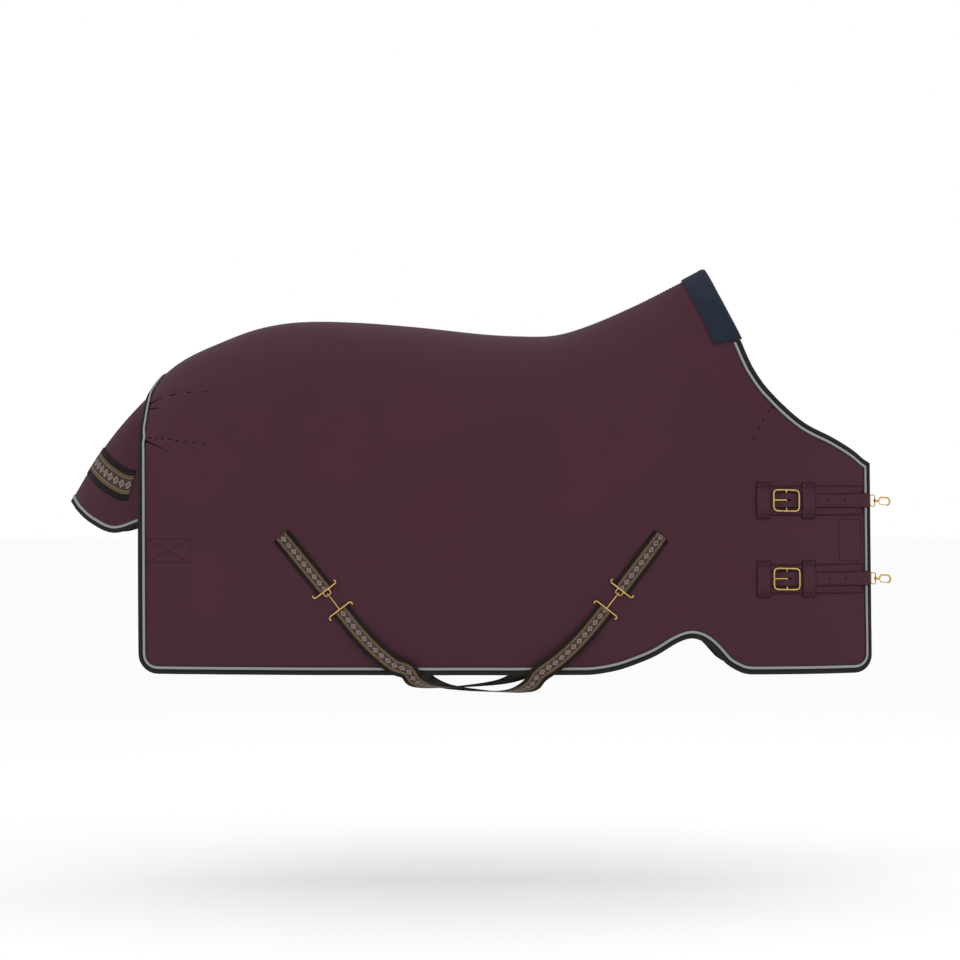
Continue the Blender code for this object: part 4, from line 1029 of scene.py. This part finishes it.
# %% Right front: buckle straps, keepers and patches
STRAP_D, STRAP_WIDTH, BUCKLE_D = (0.0032, 0.302), 0.038, 0.230
BUCKLE_HALF, BUCKLE_RISE, EDGE_LIFT, STRAP_STEP = 0.024, 0.0094, 0.0026, 0.0045
KEEPERS = {"rear": (0.272, 0.3075), "front": (0.1525, 0.188)}
KEEPER_HEIGHT, KEEPER_TOP, KEEPER_T = 0.095, 0.0029, 0.0016
HOLES, HOLE_WIDTH, SLOT, HOLE_POINTS = (0.072, 0.116), 0.006, (0.021, 0.0052), 24


def over_buckle(d, h):
    lift = EDGE_LIFT * ease((0.045 - d) / 0.021)
    return ON_PATCH + lift + bump(d - BUCKLE_D, BUCKLE_HALF, BUCKLE_RISE)


def make_real(obj):
    """The mesh becomes what its modifiers make of it."""
    bpy.context.view_layer.update()
    graph = bpy.context.evaluated_depsgraph_get()
    obj.data = bpy.data.meshes.new_from_object(obj.evaluated_get(graph))
    obj.modifiers.clear()


def punch(obj, side, h, holes):
    """Cuts holes through a strap. Each hole is (d, length, width), with round ends."""
    for number, (d, length, width) in enumerate(holes):
        point, normal = on_cloth(side, d, h)
        ahead = unit(on_cloth(side, d - 0.004, h)[0] - point)
        up = np.cross(normal, ahead)
        rings = []
        for level in (-0.003, 0.022):
            ring = []
            for k in range(HOLE_POINTS):
                turn = tau * k / HOLE_POINTS
                reach = (length - width) / 2 * np.sign(cos(turn)) if length > width else 0.0
                ring.append(point + normal * level + ahead * (reach + width / 2 * cos(turn))
                            + up * width / 2 * sin(turn))
            rings.append(ring)
        cutter = sweep(f"punch_{number}", rings, thread_and_shade_cloth, [(0, 0)] * HOLE_POINTS * 2)
        cut = obj.modifiers.new("punch", "BOOLEAN")
        cut.operation, cut.object = "DIFFERENCE", cutter
        make_real(obj)
        bpy.data.objects.remove(cutter)


for word, h in RIGHT_UNITS.items():
    chest_patch(-1, "right", word, h)
    strap = flat_piece(f"right_strap_{word}", -1, STRAP_D, around(h, STRAP_WIDTH), strap_cloth,
                       TAPE_T, over_buckle, step=STRAP_STEP)
    punch(strap, -1, h, [(d, HOLE_WIDTH, HOLE_WIDTH) for d in HOLES] + [(BUCKLE_D, *SLOT)])
    worn(strap, f"chest_strap_{word}")
    for end, d_range in KEEPERS.items():
        half = STRAP_WIDTH / 2 + 0.0042

        def over_strap(d, up):
            return ON_PATCH + KEEPER_TOP * ease((half - abs(up - h)) / 0.0022)

        keeper = flat_piece(f"right_keeper_{word}_{end}", -1, d_range, around(h, KEEPER_HEIGHT),
                            strap_cloth, KEEPER_T, over_strap, step=FINE_STEP, along_d=False)
        worn(keeper, f"keeper_{word}_{end}")

# %% [markdown]
# ## Cross surcingles and their stubs
#
# Four short stubs are sewn to the sides, and two long surcingles cross under the belly. Each
# webbing passes under the bar of its clip and its end turns up round the bar, so the brass shows
# across the strap. The bars are found in the solid model, so each end cups its own bar.

# %% Places of the straps
STUB_TOP = {"front": (0.560, 0.360), "rear": (1.546, 0.360)}
CLIP_ONE = {"front": (0.666, 0.2195), "rear": (1.430, 0.218)}
CLIP_TWO = {"front": (0.7035, 0.1715), "rear": (1.392, 0.168)}
HEM_CROSSING = {"front": (0.885, 0.0), "rear": (1.212, 0.0)}
CROSSING_D, CROSS_GAP, HEM_RISE = 1.0485, 0.012, 0.016
WEBBING_WIDTH, WEBBING_T, STUB_LEVEL = 0.050, 0.0020, 0.0020
CLIP_LEVEL, CLIP_SPACING, WIRE_R, LOOP_GAP = 0.0067, 0.061, 0.0024, 0.0003
BAR_FROM, BAR_TO, WEB_STEP, WEB_CLEAR, WEB_SLACK = 0.024, 0.0335, 0.007, 0.0016, 0.018
# Below the hem: share of the way to the middle, share of the width, height and lean.
UNDER_BELLY = [(0.05, 1.0, 0.012, 0.25), (0.16, 0.955, -0.013, 0.65), (0.34, 0.80, -0.030, 1.1),
               (0.62, 0.45, -0.040, 1.4)]
LOWEST = -0.043
SIDE_OF = {"left": 1, "right": -1}


def clip_axes(end, word, which):
    """Middle of a clip's bar, the direction from the first clip to the second, and off the cloth."""
    side = SIDE_OF[word]
    first, normal = on_cloth(side, *CLIP_ONE[end], CLIP_LEVEL)
    run = place(*CLIP_TWO[end], 0) - place(*CLIP_ONE[end], 0)
    run = unit(run - normal * (run @ normal))
    middle = first + run * (CLIP_SPACING if which == "male" else 0.0)
    across = np.cross(normal, run)
    solid = frame["nodes"][f"clip_{which}_{end}_{word}"].data
    away = np.array([v.co for v in solid.vertices]) - middle
    bar = away[(abs(away @ across) > BAR_FROM) & (abs(away @ across) < BAR_TO)]
    middle = middle + run * (bar @ run).mean() + normal * (bar @ normal).mean()
    return middle, run, normal


def loop_round(middle, toward, normal):
    """(point, normal) of the webbing's end: it cups the bar from its far side and from below."""
    outer = WIRE_R + LOOP_GAP + WEBBING_T
    path = []
    for k in range(9):
        turn = 0.15 - (0.15 + pi / 2) * k / 9
        off = -toward * cos(turn) + normal * sin(turn)
        path.append((middle + off * outer, -off))
    return path + [(middle - normal * outer, normal)]


def resample(path):
    """Evenly spaced points on a smooth curve through the path."""
    points = np.array([p for p, _ in path])
    normals = np.array([n for _, n in path])
    run = np.concatenate([[0], np.cumsum(np.linalg.norm(np.diff(points, axis=0), axis=1))])
    places = np.linspace(0, run[-1], max(2, round(run[-1] / WEB_STEP)))
    columns = [list(zip(run, points[:, k])) for k in range(3)]
    found = []
    for s in places:
        point = np.array([smooth(column, s) for column in columns])
        found.append((point, unit([np.interp(s, run, normals[:, k]) for k in range(3)])))
    return found


def web_section():
    """Across a webbing: a flat middle and rounded edges."""
    half, r = WEBBING_WIDTH / 2, WEBBING_T / 2
    top = [(x, WEBBING_T) for x in np.linspace(-half + r, half - r, 9)]
    right = [(half - r + r * cos(a), r + r * sin(a)) for a in (0.6, 0.0, -0.6)]
    low = [(x, 0.0) for x in np.linspace(half - r, -half + r, 9)]
    left = [(-half + r - r * cos(a), r - r * sin(a)) for a in (0.6, 0.0, -0.6)]
    return top + right + low + left


def webbing_strap(name, path):
    section, rings, uv, length = web_section(), [], [], 0.0
    for k, (point, normal) in enumerate(path):
        before, after = path[max(k - 1, 0)][0], path[min(k + 1, len(path) - 1)][0]
        run = unit(after - before)
        off = unit(normal - run * (run @ normal))
        across = np.cross(off, run)
        length += np.linalg.norm(point - path[k - 1][0]) if k else 0.0
        rings.append([point + across * a + off * b for a, b in section])
        uv += [(a, length) for a, _ in section]
    return sweep(name, rings, webbing, uv)


# %% Stubs and surcingles
def stub_path(end, word):
    middle, run, normal = clip_axes(end, word, "female")
    top, low = np.array(STUB_TOP[end]), np.array(CLIP_ONE[end])
    path = loop_round(middle, -run, normal)
    for t in np.linspace(0.96, 0.0, 24):
        point, off = on_cloth(SIDE_OF[word], *(top + (low - top) * t), STUB_LEVEL)
        share = ease((1 - t) / 0.2)
        path.append((point, unit(normal * (1 - share) + off * share)))
    return path


def half_path(end, word, drop):
    """From a clip on one side down to near the middle of the belly."""
    side = SIDE_OF[word]
    middle, run, normal = clip_axes(end, word, "male")
    two, hem = CLIP_TWO[end], HEM_CROSSING[end]
    loop = loop_round(middle, run, normal)
    path = [loop[-1]]
    for t in np.linspace(0.06, 0.78, 19):
        d = two[0] + (hem[0] - two[0]) * t
        h = two[1] + (hem[1] - two[1]) * t - WEB_SLACK * sin(pi * t)
        point, off = on_cloth(side, d, h, WEB_CLEAR + HEM_RISE * t)
        share = ease(t / 0.2)
        path.append((point, unit(normal * (1 - share) + off * share)))
    rim_y = path[-1][0][1]
    for share, y_share, h, lean in UNDER_BELLY:
        d = hem[0] - (hem[0] - two[0]) * 0.08 + (CROSSING_D - hem[0]) * share
        point = place(d, h + drop, rim_y * y_share)
        path.append((point, unit((0, side * cos(lean), -sin(lean)))))
    return loop, path


for end in STUB_TOP:
    for word in SIDES:
        worn(webbing_strap(f"stub_webbing_{end}_{word}", stub_path(end, word)),
             f"stub_{end}_{word}")
for first, second, drop in (("left", "right", 0.0), ("right", "left", -CROSS_GAP)):
    loop_a, path_a = half_path("front", first, drop)
    loop_b, path_b = half_path("rear", second, drop)
    centre = place(CROSSING_D, LOWEST + drop, 0)
    belly = resample(path_a + [(centre, np.array([0, 0, -1.0]))] + path_b[::-1])
    strap = webbing_strap(f"belly_webbing_{first}_to_{second}",
                          loop_a[:-1] + belly + loop_b[-2::-1])
    worn(strap, f"surcingle_{first}_to_{second}")
    print(f"{first} to {second}: {len(belly) * WEB_STEP:.2f} m of webbing")

# %% [markdown]
# ## Brass fittings
#
# Rings, buckles, snap hooks and clips are cast or bent from wire. Each solid of the frame is
# copied, remeshed finely and smoothed, so that its joins melt together as in a casting.

# %% Cast each fitting
def coat(obj, material):
    obj.data.materials.clear()
    obj.data.materials.append(material)
    obj.data.shade_smooth()


def cast(name, cell=0.0008):
    mesh = frame["nodes"][name].data.copy()
    build = bmesh.new()
    build.from_mesh(mesh)
    bmesh.ops.remove_doubles(build, verts=build.verts, dist=1e-6)
    build.to_mesh(mesh)
    build.free()
    obj = bpy.data.objects.new(f"{name}_brass", mesh)
    bpy.context.scene.collection.objects.link(obj)
    fine = obj.modifiers.new("fine", "REMESH")
    fine.mode, fine.voxel_size, fine.use_smooth_shade = "VOXEL", cell, True
    melt = obj.modifiers.new("melt", "SMOOTH")
    melt.factor, melt.iterations = 0.5, 3
    make_real(obj)
    coat(obj, brass)
    return worn(obj, name)


METAL = ("ring_upper_", "ring_lower_", "buckle_", "tongue_", "snap_", "clip_female_", "clip_male_")
fittings = [cast(name) for name in sorted(frame["nodes"]) if name.startswith(METAL)]
print("brass fittings:", len(fittings))

# %% [markdown]
# ## Withers pad
#
# A fleece pad is folded over the neck edge at the withers. It is stuffed, so it is made with the
# cloth simulation: two thin leaves are remeshed, blown up by air pressure with gravity off, and
# held where they lie against the rug. No point may move more than 5 mm.

# %% Blow up the pad
def rug_middle():
    """The middle of the cloth on both sides, to measure how far a point is from the rug."""
    points, faces = [], []
    for grid in SIDES.values():
        faces += [tuple(v + len(points) for v in face) for face in grid.faces]
        points += [tuple(p) for p in grid.points - grid.normals * (RUG_T / 2)]
    return BVHTree.FromPolygons(points, faces)


PAD_T, PAD_SHARE, PAD_CLEAR, PAD_NOSE, PAD_FOOT = 0.0060, 0.0495, 0.0011, 0.0085, 0.822
PAD_CELL, PRESSURE, BLOWN_FOR, HELD_WITHIN, FREE_OVER = 0.0042, 4.0, 20, 0.0062, 0.003


def pad_ring(side, row):
    """A section of the pad across the neck edge: outer leaf, fold and inner leaf."""
    (d0, h0), (d1, h1) = [column_places(share, [row], False)[0] for share in (0.0, PAD_SHARE)]
    wide = np.linalg.norm(on_cloth(side, d1, h1)[0] - on_cloth(side, d0, h0)[0])

    def at(back, level):
        share = back / wide
        point, normal = on_cloth(side, d0 + (d1 - d0) * share, h0 + (h1 - h0) * share)
        if row == 1.0:
            point, normal = point * (1, 0, 1), unit(normal * (1, 0, 1))
        return point + normal * level

    ahead = unit(at(0.0, 0.0) - at(wide / 2, 0.0))
    up, low = PAD_CLEAR, -RUG_T - PAD_CLEAR
    ring = [at(wide, up), at(wide, up + PAD_T * 0.5), at(wide * 0.95, up + PAD_T)]
    ring += [at(wide * share, up + PAD_T) for share in (0.75, 0.5, 0.25, 0.05)]
    middle, half = (up + low) / 2, (up - low) / 2 + PAD_T
    for k in range(1, 8):
        turn = pi / 2 - pi * k / 8
        ring.append(at(0.0, middle + half * sin(turn)) + ahead * PAD_NOSE * cos(turn) ** 0.6)
    ring += [at(wide * share, low - PAD_T) for share in (0.05, 0.25, 0.5, 0.75, 0.95)]
    ring += [at(wide, low - PAD_T * 0.5), at(wide, low)]
    ring += [at(0.0, low) + ahead * 0.0015, at(0.0, up) + ahead * 0.0015]
    return ring


def make_pad(cap=0.005):
    shares = list(np.linspace(PAD_FOOT, 1.0, 30))
    rings = [pad_ring(1, row) for row in shares] + [pad_ring(-1, row) for row in shares[-2::-1]]
    pad = sweep("withers_fleece", rings, fleece_cloth, [(0.0, 0.0)] * len(rings) * len(rings[0]))
    fine = pad.modifiers.new("fine", "REMESH")
    fine.mode, fine.voxel_size = "VOXEL", PAD_CELL
    make_real(pad)
    rest = np.array([v.co for v in pad.data.vertices])
    moved = rest.copy()
    cloth = pad.modifiers.new("cloth", "CLOTH")
    cloth.settings.use_pressure = True
    cloth.settings.uniform_pressure_force = PRESSURE
    cloth.settings.effector_weights.gravity = 0.0
    cloth.settings.tension_stiffness = cloth.settings.compression_stiffness = 25.0
    cloth.settings.bending_stiffness = 2.0
    for step in range(1, BLOWN_FOR + 1):
        bpy.context.scene.frame_set(step)
    graph = bpy.context.evaluated_depsgraph_get()
    blown = pad.evaluated_get(graph).data
    moved = np.array([v.co for v in blown.vertices])
    pad.modifiers.remove(cloth)
    bpy.context.scene.frame_set(1)
    middle = rug_middle()
    near = np.array([middle.find_nearest(Vector(p))[3] for p in rest])
    free = np.clip((near - HELD_WITHIN) / FREE_OVER, 0, 1)[:, None]
    move = moved - rest
    size = np.linalg.norm(move, axis=1, keepdims=True)
    move = move * np.minimum(1, cap / np.maximum(size, 1e-9)) * free
    furthest = np.linalg.norm(move, axis=1).max()
    print(f"pad: {len(rest)} points, moved up to {furthest * 1000:.1f} mm")
    pad.data.vertices.foreach_set("co", (rest + move).ravel())
    rounded = pad.modifiers.new("rounded", "SMOOTH")
    rounded.factor, rounded.iterations = 0.5, 2
    finer = pad.modifiers.new("finer", "SUBSURF")
    finer.levels = finer.render_levels = 1
    make_real(pad)
    coat(pad, fleece_cloth)
    worn(pad, "withers_pad")


make_pad()

# %% [markdown]
# ## Stitching
#
# Each seam shows as a row of short raised stitches. A stitch is a tiny lens of thread, and a row
# is laid along a line of places at an even pitch. The closed edge of a dart is one dark cord
# that thins out: its seam, with the shade of its crease painted in. Rows on the rug stay where
# they are, and rows on a chest patch move with their front.

# %% Rows of stitches
PITCH, STITCH, THREAD = 0.0088, 0.0060, 0.0010
SEAM_WIDTH, SEAM_RISE, SEAM_RINGS = 0.0052, 0.0007, 40


def lay(line, close=False):
    """(point, next point) pairs at the stitch pitch along a line of places."""
    line = [np.array(p, float) for p in line]
    line += [line[0]] if close else []
    run = np.concatenate([[0], np.cumsum([np.linalg.norm(b - a) for a, b in zip(line, line[1:])])])
    stack = np.array(line)
    spots = []
    for k in range(int(run[-1] / PITCH)):
        ends = [k * PITCH, k * PITCH + STITCH]
        spots.append([np.array([np.interp(s, run, stack[:, i]) for i in range(stack.shape[1])])
                      for s in ends])
    return spots


def stitches(name, rows):
    """rows: lists of (start, end, normal) of single stitches."""
    points, faces = [], []
    for start, end, normal in (stitch for row in rows for stitch in row):
        run = unit(end - start)
        across, middle, first = np.cross(normal, run), (start + end) / 2, len(points)
        points += [start, middle + across * THREAD, end, middle - across * THREAD,
                   middle + normal * THREAD * 1.3, middle - normal * THREAD * 0.4]
        for a, b in ((0, 1), (1, 2), (2, 3), (3, 0)):
            faces += [(first + a, first + b, first + 4), (first + b, first + a, first + 5)]
    return make_mesh(name, points, faces, thread_and_shade_cloth, sharp=90)


def cloth_row(side, line, level, close=False):
    """A row along places (d, h) on the cloth. level is a height or a rule for it."""
    rule = level if callable(level) else lambda d, h: level
    row = []
    for a, b in lay(line, close):
        (start, normal), (end, _) = [on_cloth(side, *p, rule(*p) + 0.0001) for p in (a, b)]
        row.append((start, end, normal))
    return row


def box(d_range, h_range, inset):
    (d0, d1), (h0, h1) = d_range, h_range
    d0, d1, h0, h1 = d0 + inset, d1 - inset, h0 + inset, h1 - inset
    return [(d0, h0), (d1, h0), (d1, h1), (d0, h1)]


def cross_rows(side, corners, level):
    a, b, c, e = corners
    return [cloth_row(side, corners, level, True), cloth_row(side, [a, c], level),
            cloth_row(side, [b, e], level)]


def dart_seam_and_shade(name, side, line):
    """The closed edge of a dart: a dark cord for its seam and the painted shade of its crease,
    widest at the rug's edge, that fades to nothing.
    """
    table = [(k / (len(line) - 1), *spot) for k, spot in enumerate(line)]
    spots = []
    for t in np.linspace(0, 1, SEAM_RINGS):
        spot = [smooth([(row[0], row[k]) for row in table], t) for k in (1, 2)]
        spots.append(on_cloth(side, *spot, 0.0001))
    rings, last = [], SEAM_RINGS - 1
    for k, (point, normal) in enumerate(spots):
        run = unit(spots[min(k + 1, last)][0] - spots[max(k - 1, 0)][0])
        across = np.cross(normal, run) * SEAM_WIDTH / 2 * sqrt(max(1 - k / last, 0.02))
        rings.append([point + across, point + across * 0.5 + normal * SEAM_RISE,
                      point - across * 0.5 + normal * SEAM_RISE, point - across])
    cord = sweep(name, rings, thread_and_shade_cloth, [(0.0, 0.0)] * 4 * SEAM_RINGS)
    return bend_at_shoulder(cord)


def rim_row(path, out, level):
    line = [(*(p + o * out + n * level), *n) for p, n, o, _ in path]
    return [(a[:3], b[:3], unit(a[3:])) for a, b in lay(line)]


def round_patch(side, d_range, h_range):
    return cloth_row(side, box(d_range, h_range, PATCH_INSET), ON_CLOTH + PIECE_T, True)


def strap_rows(side, h, up, d_range, rule):
    """One row near each long edge of a strap."""
    return [cloth_row(side, [(d, h + off) for d in d_range],
                      lambda d, at: rule(d, at) + TAPE_T) for off in (-up, up)]


# %% Sew the fronts
PATCH_INSET, RING_ROW, BUCKLE_ROW, KEEPER_ROW = 0.0035, 0.0105, 0.0155, 0.0385
RING_ROW_D, BUCKLE_ROW_D = (0.033, 0.284), (0.048, 0.150)
STRAP_END, KEEPER_END = (0.276, 0.301), 0.016
left_rows, right_rows = [], []
for h in LEFT_UNITS.values():
    left_rows.append(round_patch(1, PATCH_D, around(h, PATCH_HEIGHT)))
    left_rows += strap_rows(1, h, RING_ROW, RING_ROW_D, over_rings)
left_rows.append(round_patch(1, *LOOP_TAPE))
for h in RIGHT_UNITS.values():
    right_rows.append(round_patch(-1, PATCH_D, around(h, PATCH_HEIGHT)))
    right_rows += cross_rows(-1, box(STRAP_END, around(h, STRAP_WIDTH), 0.003), ON_PATCH + TAPE_T)
    for d_range in KEEPERS.values():
        for up in (-KEEPER_ROW, KEEPER_ROW):
            corners = box(d_range, around(h + up, KEEPER_END), 0.0028)
            right_rows += cross_rows(-1, corners, ON_PATCH + KEEPER_T)
    right_rows += strap_rows(-1, h, BUCKLE_ROW, BUCKLE_ROW_D, over_buckle)
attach(stitches("left_front_stitches", left_rows), "front_left")
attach(stitches("right_front_stitches", right_rows), "front_right")

# %% Sew the edges, the darts and the stubs
BINDING_ROW, PIPING_ROW = (-0.0078, 0.0021), (PIPING_MIDDLE - 0.0053, 0.0008)
REAR_BOX, STUB_BOX, STUB_BOX_HALF = ((1.785, 1.90), (0.29, 0.35)), (0.004, 0.046), 0.0215
BACK_ROW_Y, BACK_FROM = 0.006, 6
for word, grid in SIDES.items():
    side = grid.side
    rows = [rim_row(edge_paths[word], *row) for row in (BINDING_ROW, PIPING_ROW)]
    for name, line in DARTS.items():
        dart_seam_and_shade(f"{name}_seam_{word}", side, line)
    rows += cross_rows(side, box(*REAR_BOX, 0.0), 0.0)
    if side < 0:
        rows.append(cloth_row(side, box(*HOOK_TAPE, 0.002), 0.0, True))
    for end in STUB_TOP:
        top, low = np.array(STUB_TOP[end]), np.array(CLIP_ONE[end])
        run = unit(low - top)
        across = np.array([-run[1], run[0]]) * STUB_BOX_HALF
        corners = [top + run * STUB_BOX[a] + across * b for a, b in
                   ((0, -1), (0, 1), (1, 1), (1, -1))]
        rows += cross_rows(side, corners, STUB_LEVEL + WEBBING_T)
    last = len(grid.columns[-1]) - 1
    back = [grid.points[grid.index[last, j]] + np.array([0, side * BACK_ROW_Y, -0.0002])
            for j in range(grid.seam + BACK_FROM, len(grid.columns))]
    rows.append([(a, b, np.array([0, 0, 1.0])) for a, b in lay(back)])
    sewn = stitches(f"rug_stitches_{word}", rows)
    bend_at_shoulder(sewn)
    print(f"{word}: {len(sewn.data.vertices) // 6} stitches")

# %% [markdown]
# ## Studio
#
# The rug hangs in the air, as if on the horse, over a plain pale floor. A white surround gives
# even soft light, and large lamps on both sides shape the folds. The camera looks level at the
# rug's right side.

# %% Floor, surround, lamps and camera
def make_floor(level=-1.45, half=60.0):
    made, tree, shader, where = start_material("pale floor", "Object")
    cloud = node(tree, "ShaderNodeTexNoise", {"Vector": where, "Scale": 0.6, "Detail": 3.0})
    colour = mix(tree, cloud.outputs["Fac"], (0.955, 0.955, 0.955, 1), (0.975, 0.975, 0.975, 1))
    feed(tree, shader, {"Base Color": colour, "Roughness": 0.95, "Specular IOR Level": 0.1})
    corners = [(-half, -half, level), (half, -half, level), (half, half, level),
               (-half, half, level)]
    floor = make_mesh("floor", corners, [(0, 1, 2, 3)], made)
    floor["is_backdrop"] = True


LAMPS = [((-2.6, -3.2, 2.6), 22), ((2.9, 3.0, 2.8), 22), ((3.4, -2.6, 1.2), 9)]
LIT_SPOT = Vector((0, 0, -0.4))


def make_lamp(name, spot, power, size=2.2):
    lamp = bpy.data.lights.new(name, "AREA")
    lamp.energy, lamp.size = power, size
    obj = bpy.data.objects.new(name, lamp)
    obj.location = spot
    obj.rotation_euler = (LIT_SPOT - Vector(spot)).to_track_quat("-Z", "Y").to_euler()
    bpy.context.scene.collection.objects.link(obj)


def make_world(strength=1.0):
    world = bpy.data.worlds.new("white surround")
    world.use_nodes = True
    back = world.node_tree.nodes["Background"]
    back.inputs["Color"].default_value = (1.0, 1.0, 1.0, 1.0)
    back.inputs["Strength"].default_value = strength
    bpy.context.scene.world = world


def make_camera(width_seen=2.56, distance=10.0):
    camera = bpy.data.cameras.new("side view")
    camera.sensor_width = 36.0
    camera.lens = 36.0 * distance / width_seen
    camera.clip_end = 200.0
    obj = bpy.data.objects.new("side view", camera)
    low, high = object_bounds()
    obj.location = ((low[0] + high[0]) / 2, -distance, (low[2] + high[2]) / 2)
    obj.rotation_euler = (pi / 2, 0, 0)
    bpy.context.scene.collection.objects.link(obj)
    bpy.context.scene.camera = obj


make_floor()
make_world()
for number, (spot, power) in enumerate(LAMPS):
    make_lamp(f"lamp_{number}", spot, power)
make_camera()
bpy.context.scene.view_settings.view_transform = "Standard"
